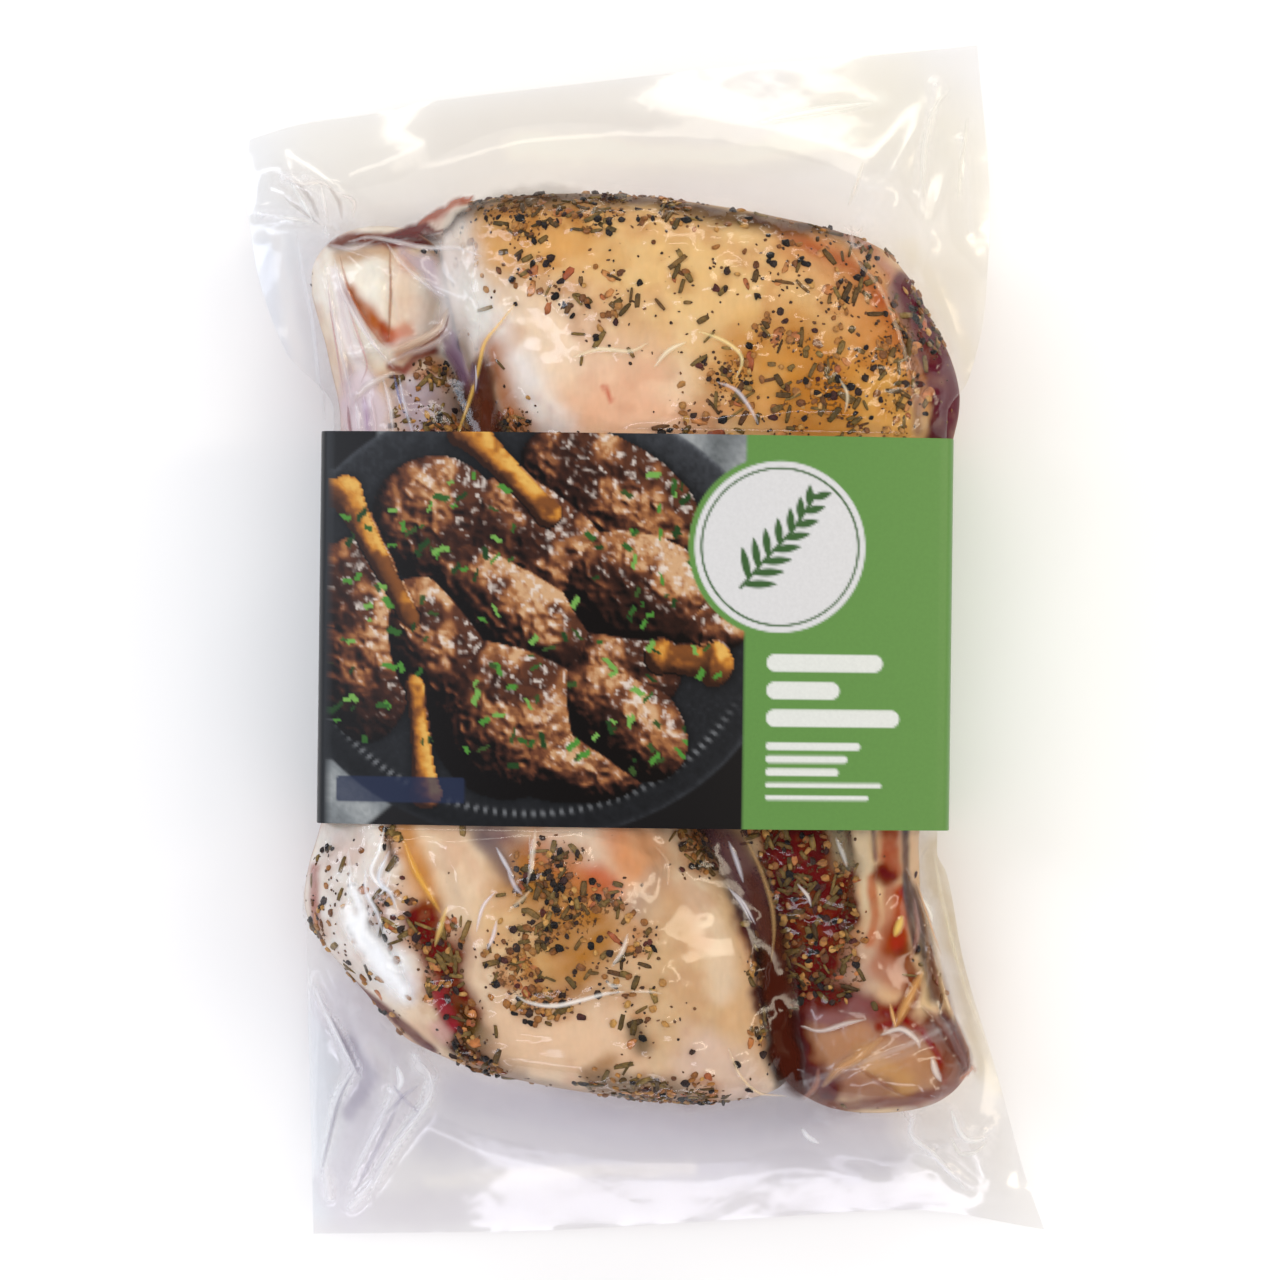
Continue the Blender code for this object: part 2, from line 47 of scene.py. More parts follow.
# The pouch's outline as it lies
TOP_LEFT, TOP_RIGHT = (-95.3, 120.5), (80.3, 143.3)
BOTTOM_LEFT, BOTTOM_RIGHT = (-79.8, -143.3), (96.4, -142.4)
TOP_EDGE = (TOP_LEFT, (-83.0, 124.1), (-65.0, 126.8), (-54.0, 129.4), (4.0, 136.1), TOP_RIGHT)
BOTTOM_EDGE = (BOTTOM_LEFT, (-40.0, -143.3), (18.0, -140.2), (65.0, -138.0), BOTTOM_RIGHT)
SHOULDER_LEFT = ((-96.4, 116.0), (-94.0, 92.0), (-86.0, 69.0))
SHOULDER_RIGHT = ((83.4, 103.0), (82.2, 81.4), (77.5, 62.0))
HIP_LEFT = ((-80.8, -60.0), (-81.2, -78.0), (-80.6, -108.0))
HIP_RIGHT = ((72.2, -56.0), (76.7, -77.0), (85.3, -105.8), (92.0, -130.0))
PLY_PAIR = 0.6
RIM_HEIGHT, RIM_IN_SLEEVE = 6.5, 21.5
RIM_WAVES = ((1.6, 15.0, 0.6), (1.2, 19.0, -1.1))  # height, run and start, across and then along
RIM_LIFTS_FROM = 1.9  # in half lengths of the sleeve, from its middle

# The card sleeve
CARD = 0.5
SLEEVE_WIDTH, SLEEVE_LENGTH = 147.0, 91.2
SLEEVE_EDGE_HEIGHT, SLEEVE_CROWN, SLEEVE_SIDE_BOW = 49.5, 7.5, 1.0
FRONT_CREASE_RADIUS, FRONT_CREASE_END, BACK_CREASE_RADIUS = 3.0, 62.0, 9.0
SLEEVE_CENTRE, SLEEVE_TURN = (-2.2, 1.9), -0.7
GLUE_LAP, LAP_MIDDLE, LAP_CLEARANCE, LAP_RAMP = 16.0, 12.0, 2.0, 10.0
SLEEVE_GAP, HOLD_MARGIN = 0.4, 6.2
SLEEVE_OVERHANG, RISE_BEYOND = 0.8, 0.9  # past the sleeve's end the pouch swells, at this slope at most
PRINT_STEP = 0.45  # between the points that carry the print

# The shanks, from the knuckle to the sawn end: share of the length, centre across, half width, height
LEFT_SHANK = {
    "knuckle_y": 98.5, "sawn_y": -108.5, "slant": -0.13,
    "stations": (
        (0.08, -62.8, 16.5, 42.0), (0.19, -58.0, 15.5, 38.0), (0.30, -52.0, 20.0, 45.5),
        (0.47, -38.5, 33.5, 53.0), (0.66, -32.5, 43.0, 55.5), (0.80, -25.5, 54.5, 58.0),
        (0.90, -16.0, 50.0, 55.5), (1.00, -8.0, 42.0, 50.0),
    ),
}
RIGHT_SHANK = {
    "knuckle_y": -113.0, "sawn_y": 104.6, "slant": -0.10,
    "stations": (
        (0.07, 54.5, 23.0, 43.0), (0.17, 48.6, 20.6, 40.5), (0.28, 41.5, 24.0, 46.0),
        (0.45, 35.0, 34.0, 53.0), (0.66, 21.5, 48.5, 54.5), (0.81, 15.5, 58.5, 59.0),
        (0.91, 8.5, 56.5, 57.5), (1.00, 2.5, 49.0, 52.0),
    ),
}
KNUCKLE_ROUNDING, SAWN_ROUNDING, END_SECTION = 13.0, 10.0, 0.02
SLANT_FROM, WIDEST_SHARE, PRESSED_FLAT, SECTION_POWER = 0.75, 0.42, 3.0, 2.5
SHANK_RINGS, UPPER_SIDES, LOWER_SIDES = 330, 180, 64
EVEN_RINGS = 0.6  # the rest of the rings' spacing crowds towards the two ends
SWELL, SWELL_SIZE, LUMP, LUMP_SIZE, SEAM_DRIFT = 2.2, 24.0, 0.9, 6.0, 5.0
SIDE_RELIEF = (0.35, 0.15)  # the relief fades down the sides to the second of these
MEAT_CLEAR = 0.8  # between the meat and the level of the sleeve or the ground

# The film, relaxed over the meat on a grid that is made finer twice
FILM_GRID = (240, 360)
RELAX_STEPS = (400, 160, 110)
FILM_BEND_RADIUS = 11.0
PLIES_MEET, SETTLED = 0.40, 1.0
PLIES_APART = (2 * PLY_PAIR, 8 * PLY_PAIR)
FILM_CLEAR = 0.35
WRINKLE, WRINKLE_SIZE = 0.15, 14.0  # the fine waviness of the film everywhere
ABOVE_ALL = 200.0

# Each line below is a run of places, x and y in turn.
# Paint on the meat, from the top of the pile down, with painted shade and a painted glare among it: colour,
# half width, softness, share, line
LEFT_MEAT = {
    "ivory knuckle": ("#F6EEE0", 14.4, 4.6, 1, -65, 85.7, -60.3, 78.7),
    # Painted shade on the knuckle's upper facets
    "knuckle's upper shade": ("#DBC6A8", 3.7, 2.8, 0.7, -66.1, 92.7, -52.2, 90.4),
    "brown top of the knuckle": ("#B98A5C", 2.1, 1.6, 0.7, -70.8, 89.9, -61, 91.3),
    "stain, left": ("#B05C24", 2.1, 1.6, 0.9, -68.9, 80.6, -64.3, 75.7, -60.5, 70.9),
    "stain, deep": ("#A04216", 1.2, 0.9, 0.8, -61.2, 73.6, -59.8, 69.9),
    "stain, middle": ("#C8602E", 2.1, 1.6, 0.85, -58.2, 71.1, -55.9, 72.5),
    "stain, top": ("#D8A080", 2.1, 1.6, 0.7, -56.4, 89.9, -55, 87.6),
    "white of the knuckle": ("#F4F0E4", 2.3, 1.9, 0.8, -64.3, 86.2, -64.3, 81.1),
    "white of the knuckle, right": ("#F2EDE4", 2.1, 1.9, 0.8, -51.2, 81.1, -51.7, 73.6),
    "tan on the knuckle's right": ("#E8CAAE", 3, 2.6, 0.6, -55.9, 84.3, -56.8, 76),
    "tan rim of the knuckle": ("#C69676", 1.9, 1.2, 0.9, -56.8, 67.1, -48.7, 70.6, -46.4, 75.3),
    "lilac corner": ("#DCCBD0", 2.3, 1.9, 0.8, -51, 89.2, -46.4, 81.1),
    "red along the knuckle's end": ("#7E3A2C", 1.9, 1.2, 0.95, -74.2, 94.5, -68.4, 94.5, -59.1, 93.8),
    "dark red juice": ("#7A1F18", 2.3, 1.2, 1, -56.8, 94.5, -51, 95.5),
    "brown end of the round": ("#A9745A", 1.6, 1.2, 0.9, -49.9, 96.2, -40.6, 102),
    "pink by the pleats": ("#D8BFC6", 5.1, 2.8, 0.9, -68.4, 59, -67.3, 47.4),
    "lilac shin": ("#B9B4C6", 7, 3.7, 0.9, -52.2, 55.5, -51, 47.4),
    "white patch on the shin": ("#E4E6E6", 2.8, 1.4, 0.95, -45.9, 68.3, -40.6, 62.5, -38.7, 57.8),
    "seasoned shin": ("#A08476", 3.7, 2.8, 0.7, -47.5, 55.5, -44, 48.1),
    "red seam of the ankle": ("#8A3A30", 1, 0.7, 0.9, -59.6, 63.9, -56.4, 63, -53.6, 66.2, -49.4, 68.1),
    "brown seam": ("#5A3428", 2.3, 1.9, 0.9, -38.2, 57.8, -35.9, 48.6),
    "purple strip": ("#7A5070", 1.2, 0.7, 0.9, -41.5, 67.1, -39.6, 59),
    "pinkish white left side": ("#EEE9E4", 11.6, 7, 0.9, -69.6, -46.7, -70.8, -60.6, -63.8, -74.6),
    # Painted highlight: the glare of the film over the left round, laid into the meat's colour
    "white left side": ("#FCFDFF", 3.7, 2.3, 0.9, -63.3, -60.6, -61.5, -72.2, -55.7, -81.5),
    "dark streak by the sleeve": ("#4A2A1C", 0.9, 0.7, 0.8, -59.6, -44.4, -58.4, -51.8),
    "amber strip": ("#C98B4A", 2.8, 2.1, 0.85, -55.9, -44.8, -53.1, -52.7, -48.5, -60.6),
    "cream beside it": ("#E6CCAE", 7, 4.6, 0.8, -40.6, -51.3, -38.2, -60.6),
    "purple grey by the sleeve": ("#7E6468", 3.7, 2.8, 0.85, -35.9, -44.8, -27.8, -49, -26.6, -56),
    "red seam": ("#722614", 4.4, 2.3, 1, -50.8, -64.1, -48, -69.9, -45.2, -80.4, -41, -88.5),
    "dark foot of the seam": ("#3C1214", 5.6, 2.3, 0.95, -44, -90.8, -38.2, -95.9, -32.4, -100.6),
    "olive over the seam": ("#5A4A22", 3, 2.1, 0.7, -43.8, -87.6, -39.2, -91.8),
    "wine patch": ("#A23A46", 2.1, 1.6, 0.8, -48, -81.5, -45.2, -89.7),
    "pink spot": ("#E3B9AE", 1.9, 1.4, 0.8, -48.7, -90.8, -46.4, -93.2),
    "amber zone": ("#B27E44", 9.8, 6, 0.9, -24.3, -56, -12.7, -67.6, -17.3, -74.6),
    "light amber": ("#DDB57C", 6, 4.6, 0.6, -33.6, -65.3, -26.6, -76.9),
    "orange by the sleeve": ("#C4683F", 3.7, 3.3, 0.6, -23.1, -49, -10.4, -57.1),
    "red by the sleeve": ("#CC5B40", 2.6, 2.6, 0.5, -11.5, -53.7, -6.9, -58.3),
    "pinkish grey by the sleeve": ("#D6C0AE", 5.1, 3.7, 0.7, -19.7, -45.5, -10.4, -46.7),
    "orange cream by the sleeve": ("#D48856", 3.5, 2.8, 0.65, -7.6, -44.8, -3.4, -52.7),
    "peach": ("#D8925F", 4.6, 3.9, 0.65, -1.1, -46.7, 2.4, -56),
    "grey lilac": ("#A08C8A", 3.3, 2.8, 0.7, 3.6, -56, -1.1, -61.8),
    "white cream": ("#D0AE86", 13.9, 8.1, 0.9, 12.9, -65.3, 8.2, -79.2, 12.9, -90.8),
    "smooth pink": ("#D6AE84", 6, 4.6, 0.7, 22.2, -74.6, 24.5, -88.5),
    "peach edge": ("#DBA06C", 2.3, 2.3, 0.8, 24.5, -67.6, 28, -80.4),
    "fibrous cream": ("#E4C2A2", 8.4, 4.6, 0.85, -28.9, -92, -10.4, -95.5),
    "dark cluster": ("#5A4630", 2.1, 1.6, 0.8, -2.2, -90.8, -0.6, -94.3),
    "brown trail": ("#A67A50", 1.9, 1.9, 0.7, -8, -97.8, -12.7, -102),
    "blurred seasoning": ("#6E5A4A", 3.7, 3, 0.75, -10.4, -103.6, 8.2, -106.6),
    "pale ridge": ("#EBD6BC", 3.3, 2.8, 0.7, 10.5, -56, 15.7, -67.6, 18, -81.5),
    "lilac white foot": ("#D9C0B2", 7, 4.2, 0.8, 12.9, -97.8, 22.2, -104.8),
    "grey pink edge": ("#B09A88", 1.9, 1.6, 0.8, -38.2, -101.3, -19.7, -105.9, -1.1, -108.9, 22.2, -109.9),
    "dark red edge": ("#64201C", 1.4, 0.8, 0.95, -77.3, -73.4, -69.6, -81.5, -59.1, -88.5, -49.9, -96.6),
    "left edge": ("#A0524A", 1.2, 0.9, 0.7, -77.3, -53.7, -77.5, -67.6),
    "silverskin": ("#5C3C3C", 4.6, 1.9, 0.95, 14, -42, 21, -51.8, 24.9, -61.8, 28.7, -74.6, 30.5, -83.9),
    "dark seam": ("#3A1810", 2.8, 1.6, 0.9, 28, -74.6, 30.5, -86.2, 31.9, -97.8, 33.8, -105.9),
}
RIGHT_MEAT = {
    "yellow cream": ("#E8BF80", 17.4, 13.9, 0.7, -1.1, 90.4, 26.8, 81.1, 47.7, 55.5),
    "pinkish white middle": ("#F3DAC0", 12.8, 10.5, 0.85, -28.9, 71.8, -15, 60.2, 1.3, 50.9),
    "bluish white left": ("#F8F6F0", 5.8, 4.6, 0.95, -42.4, 98.5, -41, 85.7, -38.2, 71.8),
    "white by the crease": ("#F4ECE6", 5.1, 3.7, 0.9, -30.1, 63.7, -25.5, 53.2, -19.7, 48.1),
    "pink blush": ("#EBAE88", 6.5, 6.5, 0.5, -12.7, 55.5, -1.1, 56.7),
    "low blush": ("#E2A27C", 5.6, 4.6, 0.4, -10.4, 49.7, 8.2, 49),
    "cream top left": ("#DDA766", 10.2, 7.4, 0.9, -33.6, 95, -19.7, 92.7),
    "seasoned amber": ("#C88836", 12.8, 8.1, 0.7, 26.8, 60.2, 45.4, 55.5, 59.3, 67.1),
    "amber stain": ("#B5702C", 6, 5.1, 0.5, 36.1, 71.8, 40.7, 57.8, 36.1, 49.7),
    "light amber": ("#DDAE62", 6, 4.6, 0.8, 54.7, 57.8, 59.3, 49.7),
    "orange top right": ("#D08C58", 7.4, 6, 0.65, 36.1, 93.8, 50, 83.4, 54.7, 71.8),
    "red ridge": ("#A8492F", 1.9, 1.9, 0.65, 31.5, 96.2, 39.6, 90.4, 47.7, 87.6, 54.7, 78.7),
    "red ridge, lower": ("#B2552F", 1.9, 1.9, 0.5, 54.7, 78.7, 60.5, 67.1, 65.1, 55.5),
    # Partly painted shade where the round falls away along its top edge, partly the dark of the seasoning there
    "brown top edge": ("#5E4028", 2.8, 2.1, 0.95, -47.5, 98.5, -35.9, 104.3, -19.7, 104.3, 1.3, 102.7,
        17.5, 98.5, 36.1, 96.2, 47.7, 95.9),
    "pink brown top right edge": ("#A9685A", 1.9, 1.9, 0.7, 51.9, 92.7, 59.3, 83.4, 66.3, 76.4),
    "corner": ("#A87A6A", 1.9, 1.2, 0.7, 47.7, 95.5, 50.5, 92.7),
    "lean sliver": ("#64303A", 5.6, 1.4, 1, 63, 81.5, 68.9, 67.1, 71.9, 55.5, 71.4, 47.4),
    "silverskin beside the lean": ("#94766C", 1.2, 1.2, 0.8, 57.5, 82, 61.7, 71.1, 63.3, 59, 63.7, 48.6),
    "warm edge of the crease": ("#B56E40", 3, 3, 0.8, -36.4, 66.7, -34.1, 60.6, -32, 55.1, -29.4, 49),
    "brown red crease": ("#6A2C18", 2.1, 1.6, 0.95, -39.2, 63.4, -38.5, 56.7, -36.8, 51.3, -34.1, 47.2),
    "thread vein": ("#C5543F", 0.5, 0.5, 0.8, -9.4, 58.3, -7.6, 55.1),
    "seasoned shin": ("#601409", 11.2, 2.3, 1, 36.1, -40.9, 38.9, -60.6, 39.6, -81.5),
    "lighter on the shin": ("#803224", 3.3, 2.8, 0.5, 33.8, -51.3, 43.1, -60.6, 39.6, -74.6),
    "olive gap by the sleeve": ("#A89C7C", 2.8, 1.9, 0.8, 44.9, -44.8, 46.8, -51.8),
    "red at the shin's edge": ("#5A1E24", 0.9, 0.7, 0.9, 47.2, -40.9, 48.2, -53.7, 49.6, -61.8),
    "tendon": ("#D6C3A4", 2.1, 1.2, 0.95, 50.7, -43.2, 51.4, -53.7, 52.6, -64.1, 53.3, -68.8),
    "tendon's foot": ("#BFA08C", 4.6, 2.8, 0.9, 51.9, -74.6, 50.5, -81.5),
    "orange by the tendon": ("#B5603A", 1.2, 0.9, 0.8, 53.1, -56, 54.2, -65.3, 52.8, -71.1),
    "dark line": ("#6A5048", 0.6, 0.5, 0.8, 53.3, -43.2, 54, -51.3),
    "salmon": ("#A85038", 3, 1.9, 0.9, 57.7, -43.9, 57.7, -53.7),
    "dark red spot": ("#6E140C", 2.1, 1.2, 0.95, 55.1, -54.6, 57.5, -56),
    "cream pink below": ("#B87A60", 2.1, 1.4, 0.9, 58.2, -59.5, 57.7, -66.4, 56.1, -72.2),
    "salmon, lower": ("#8E4228", 3, 1.9, 0.9, 58.9, -69.9, 57.7, -75.7),
    "pink above the knuckle": ("#B07A64", 3, 1.9, 0.9, 55.6, -77.4, 59.3, -80.4),
    "red between the folds": ("#7E3A22", 2.1, 1.4, 0.85, 60.7, -73.4, 62.8, -80.4, 62.1, -84.6),
    "orange red streak": ("#A83E1A", 1.9, 1.2, 0.9, 60.7, -59.5, 60.3, -66.4, 58.9, -71.1),
    "dark edge": ("#4A1A14", 0.9, 0.7, 0.9, 61.4, -43.2, 61.4, -56, 62.3, -65.3, 64, -73.4),
    "brown side of the shin": ("#5A3422", 2.1, 1.4, 0.8, 64, -60.6, 66.8, -72.2, 68.6, -83.9),
    "pink knuckle": ("#9C6A58", 11.2, 3.3, 1, 41.9, -96.6, 59.3, -97.8, 67.5, -101.3),
    "red above the knuckle": ("#7E2216", 2.1, 1.6, 0.9, 47.2, -85, 54.7, -87.3, 59.3, -87.3, 62.8, -83.9),
    "lilac of the knuckle": ("#8E6262", 5.1, 2.1, 0.9, 39.6, -89, 48.9, -88.5),
    "cream of the knuckle": ("#B88A68", 4.6, 2.3, 0.9, 38, -95.5, 44.2, -96.6, 50, -94.3),
    "glassy knuckle": ("#B88A66", 5.6, 2.3, 0.9, 57, -97.8, 65.1, -101.3),
    "tan facet": ("#C69A68", 3.7, 1.9, 0.85, 51.9, -98.3, 55.8, -102.4, 60.5, -105.2),
    "facet below": ("#A47862", 3.3, 1.9, 0.85, 46.6, -103.6, 54.7, -106.6),
    "brown side": ("#7A4432", 2.3, 1.4, 0.9, 67.5, -90.8, 71.4, -97.8, 70.9, -103.6),
    "red rim": ("#8A2A1A", 0.9, 0.7, 0.9, 54.7, -90.8, 60.5, -89, 65.1, -92, 68.6, -97.8, 70.5, -103.6),
    "dark red side": ("#5A1A10", 1.2, 0.9, 0.9, 70.5, -89, 72.8, -92, 74.4, -96.6),
    "dark juice": ("#5E1A12", 6, 2.3, 0.95, 32.6, -92, 34.9, -101.3, 40.3, -107.1),
    "red over the shin's foot": ("#6E2A20", 2.8, 1.9, 0.9, 36.1, -83.9, 45.4, -83.9),
    "tip": ("#8E5E4C", 3, 1.6, 0.9, 72.1, -102, 76.8, -103.6),
    "red lower edge": ("#7E4436", 1.6, 0.9, 0.9, 43.1, -111, 59.3, -108.9, 73.3, -105.7),
}
LEFT_GROUND, RIGHT_GROUND = "#E6CDB0", "#E8CBA0"

# Smears, milky film and juice on the film, with painted glare and painted shade among them: the same, with how
# much they hide
FILM_MARKS = {
    "pocket by the knuckle": ("#F4ECEE", 2.1, 1.2, 0.6, -73.1, 86.2, -69.8, 70.6, -64.7, 60.6),
    "pleats by the shin": ("#EBDDE4", 5.6, 2.1, 0.6, -65.6, 59.2, -64.7, 43.9),
    "lilac film": ("#C9BCCB", 2.1, 1.4, 0.5, -56.4, 90.4, -51, 87.6, -47.5, 81.1),
    "white film left of the round": ("#FDFCF8", 3.5, 3.3, 0.35, -42, 96.2, -42, 81.1, -38.7, 67.1),
    "film between the shanks": ("#F4ECE8", 2.3, 2.1, 0.5, -46.1, 94.5, -45.2, 81.1, -45.9, 68.3),
    "silverskin in the crease": ("#5A3A3E", 3.7, 1.9, 0.75, 12.9, -38.8, 18.4, -46.7, 23.6, -56,
        28.2, -68.8),
    "juice in the crease": ("#4A2414", 2.8, 1.9, 0.75, 24.5, -56, 29.6, -71.1, 31.5, -83.9, 32.4, -95.5),
    "juice below the crease": ("#42180E", 3, 1.6, 0.97, 29.6, -71.1, 31.5, -86.2, 33.3, -97.8,
        35.4, -105.7),
    "juice between the ends": ("#42180E", 3, 1.4, 0.95, 31.9, -93.2, 33.8, -100.6, 35.6, -103.8),
    "seam by the shin": ("#9A8494", 0.9, 0.7, 0.75, -45.2, 71.8, -43.1, 65.7, -41, 61.6),
    "purple film": ("#77586C", 1.2, 0.7, 0.7, -46.6, 70.6, -43.8, 64.3, -40.6, 57.4),
    "dark foot of the film": ("#5A3020", 2.8, 1.9, 0.8, -41, 59, -38.2, 52.7, -37.3, 43.9),
    "juice, top left": ("#5A2A18", 2.1, 1.4, 0.85, -38.2, 64.3, -36.8, 55.5, -35.9, 43.9),
    "brown by the knuckle's end": ("#6A3426", 1.4, 0.9, 0.8, -74, 92.7, -69.6, 93.6, -61.5, 93.6),
    "juice by the knuckle": ("#5A0E0C", 1.6, 0.7, 0.95, -59.6, 93.6, -54.5, 95.7, -48.9, 96.9),
    "brown flap": ("#944428", 1.4, 0.7, 0.9, -52.2, 97.8, -49.4, 99.2, -46.6, 100.4),
    "brown flap, upper": ("#A04E2E", 0.9, 0.5, 0.9, -46.1, 100.4, -43.8, 102, -40.6, 103.6),
    "cream of the flap": ("#E6D6C4", 1.2, 0.7, 0.7, -49.4, 97.3, -45.2, 99.2, -42, 101.3),
    # Painted shade along the top left of the round
    "shade on the top left": ("#4E3C2C", 2.6, 2.1, 0.4, -42.4, 98.3, -33.6, 102, -16.2, 103.4),
    # Painted highlight: white glare where the film mirrors the light over the left round
    "glare on the left side": ("#FFFFFF", 2.8, 1.9, 0.92, -69.4, -62.5, -64.3, -70.4, -55.9, -81.5),
    "glare above it": ("#FFFFFF", 1.4, 1.2, 0.8, -67, -57.8, -65.2, -66.4),
    "grey flap by the sleeve": ("#6E5E64", 2.1, 1.6, 0.45, -40.6, -43, -35.4, -48.1, -30.8, -56),
    "olive film by the shin": ("#8A8068", 1.9, 1.2, 0.5, 44.5, -43, 46.8, -49, 48.2, -53.2),
    "brown film right of the shin": ("#5A3A28", 1.6, 0.9, 0.75, 62.1, -56, 64.9, -64.1, 68.6, -74.6),
    "dark hook of the tip": ("#6E2E1E", 0.9, 0.7, 0.85, 72.3, -92.2, 74.7, -96.9, 76.1, -102.4),
    "pale hook of the tip": ("#B87C62", 0.7, 0.5, 0.7, 74.7, -104.3, 77, -101.1, 78.6, -102.4),
    "brown film above the knuckle": ("#6A3424", 1.6, 1.2, 0.5, 67.7, -73.4, 70, -83.9, 71.9, -90.8),
}

# What the floor's colour becomes under the empty film, with painted highlight streaks and the ear's facets in
# painted light and shade: the same as the meat's paint
SKIRTS = {
    "upper left": ("#E2E5E9", 16.9, 12.1, 0.9, -92.3, 108.3, -86.7, 81.8, -80.7, 52.8),
    "top": ("#EAE8E2", 12.1, 9.6, 0.9, -75.9, 115.5, -20.4, 122.8, 13.4, 127.6),
    "top, middle": ("#E6E3DE", 9.6, 7.2, 0.8, -51.7, 117.9, -30, 115.5, -1.1, 116.7),
    "top right": ("#ECE8DC", 14.5, 9.6, 0.9, 52, 132.4, 73.7, 115.5, 79.7, 81.8, 77.3, 52.8),
    # Painted highlight streaks on the top skirt, with a greyer band below them
    "warm light": ("#FCF8EA", 3.4, 2.2, 0.9, -30, 118.4, -10.7, 117.5, 3.7, 114.3, 27.9, 115.5,
        49.6, 122.8),
    "warm light, second": ("#FAF7EC", 1.9, 1.4, 0.8, 27.9, 125.7, 44.7, 128.1, 56.8, 130),
    "grey under the light": ("#E2E0DC", 2.2, 1.9, 0.8, -1.1, 111.7, 23, 110.7, 42.3, 115.5),
    "left pleats": ("#DDE4F0", 2.4, 1.9, 0.8, -92.3, 93.8, -89.1, 74.5, -83.1, 52.8),
    "left white": ("#F8FAFC", 1.9, 1.4, 0.8, -88.4, 96.2, -85, 76.9, -80.2, 52.8),
    "corner": ("#DCD8D4", 3.9, 2.9, 0.8, -85.5, 109.5, -77.1, 103.5),
    "right edge": ("#E9E2CC", 2.2, 1.7, 0.9, 62.8, 93.8, 70.1, 81.8, 76.6, 69.7, 79.7, 52.8),
    "under the meat": ("#C6C5D3", 8.2, 5.8, 0.95, -39.7, -107.6, -1.1, -116, 27.9, -117.2, 52, -116),
    "bottom": ("#CECDD7", 6.3, 4.8, 0.8, -49.3, -118.4, -1.1, -126.9, 56.8, -125.7),
    # Painted highlight streak on the bottom skirt
    "bottom streak": ("#F2EFEA", 1.7, 1.2, 0.9, -51.7, -131, -34.8, -129.5, -10.7, -127.6, 11, -127.1),
    "bottom edge": ("#DAD7DC", 5.3, 3.4, 0.9, -75.9, -138.9, -1.1, -136.5, 80.9, -138.9),
    "foot's right": ("#E6E3E0", 9.6, 5.8, 0.9, 71.3, -116, 83.3, -130.5, 88.2, -140.1),
    "hip": ("#E3EAF2", 4.8, 3.4, 0.9, -79.2, -89.5, -78.7, -111.2, -79.2, -135.3),
    "ear": ("#DCD8E1", 7.2, 2.4, 0.9, -72.2, -87.1, -62.6, -107.6, -67.4, -123.3, -72.2, -132.9),
    # Painted shade and painted highlight on the ear's facets
    "ear, dark facet": ("#9F98AC", 2.2, 1.2, 0.9, -71, -96.7, -65.7, -105.2, -71, -113.6),
    "ear, light facet": ("#F7F5FA", 2.4, 1.4, 0.9, -65, -96.7, -60.2, -102.8, -61.9, -111.2),
    "right skirt": ("#BEAB84", 3.9, 2.2, 0.95, 69.4, -49.7, 73.7, -67.8, 79.7, -87.1, 82.1, -101.5),
    "right skirt, outer": ("#EDE8D8", 3.4, 2.2, 0.9, 74.2, -49.7, 79, -70.2, 83.8, -94.3, 85.8, -106.4),
}

# Where the seasoning lies: how thickly, half width, softness, line
SEASONED = {
    "over the round": (1.2, 13.5, 9.3, 29.1, 59, 45.4, 55.5, 54.7, 71.8),
    "top edge": (0.85, 7, 5.1, -40.6, 100.8, -19.7, 100.1, 3.6, 97.3),
    "round, top left": (0.5, 13.9, 9.3, -19.7, 85.7, 8.2, 81.1),
    "round, top right": (0.35, 13.9, 9.3, 31.5, 85.7, 50, 81.1),
    "round, foot": (0.55, 6, 4.2, 8.2, 49.7, 26.8, 49.7),
    "crease": (1.6, 4.6, 2.8, -54.5, 52.7, -41.5, 52, -35.9, 49.9, -31.3, 48.1),
    "shin by the crease": (1.2, 3.7, 2.3, -56.4, 58.8, -49.9, 62, -45.7, 58.3),
    "amber zone": (1.2, 11.6, 7.4, -19.7, -60.6, -10.4, -72.2, -24.3, -79.2),
    "dark streak": (1, 2.1, 1.4, -59.6, -44.8, -57.3, -51.8),
    "red seam": (1.4, 5.6, 3.3, -57.3, -61.8, -48.7, -68.8, -44, -85, -37.8, -95.5),
    "left side": (0.8, 7.9, 4.6, -71.7, -56, -70.8, -67.6, -68.4, -75.7),
    "dark cluster": (0.9, 3.7, 2.3, -2.2, -89.7, -1.1, -95.5),
    "foot of the round": (0.9, 5.1, 3.7, -10.4, -103.6, 12.9, -106.6),
    "seam of the shanks": (1, 3.7, 2.3, 17.5, -49, 29.1, -67.6, 30.3, -86.2),
    "shin": (3, 10.7, 4.2, 36.1, -43.2, 37.3, -60.6, 38.4, -79.2),
    "by the silverskin": (1.1, 3.7, 2.3, 10.5, -44.4, 12.9, -51.3),
    "edge by the shin": (0.9, 3, 1.9, 24.5, -75.7, 27.7, -86.2, 27.3, -100.1),
}

# Where none lies: half width, softness, line
BARE = {
    "left knuckle": (12.1, 2.8, -67.3, 90.4, -57.7, 78.7),
    "pocket and pleats": (11.6, 2.8, -71.9, 67.1, -69.6, 46.2),
    "right knuckle": (10.7, 2.8, 40.7, -95.5, 66.3, -100.1),
    "white middle of the round": (7.9, 3.7, -28.9, 68.3, -19.7, 60.2, -5.7, 55.5),
    "smooth pink": (5.1, 2.8, 19.4, -60.6, 18, -95.5),
    "fibrous cream": (5.1, 2.8, -28.9, -93.2, -12.7, -94.3),
}

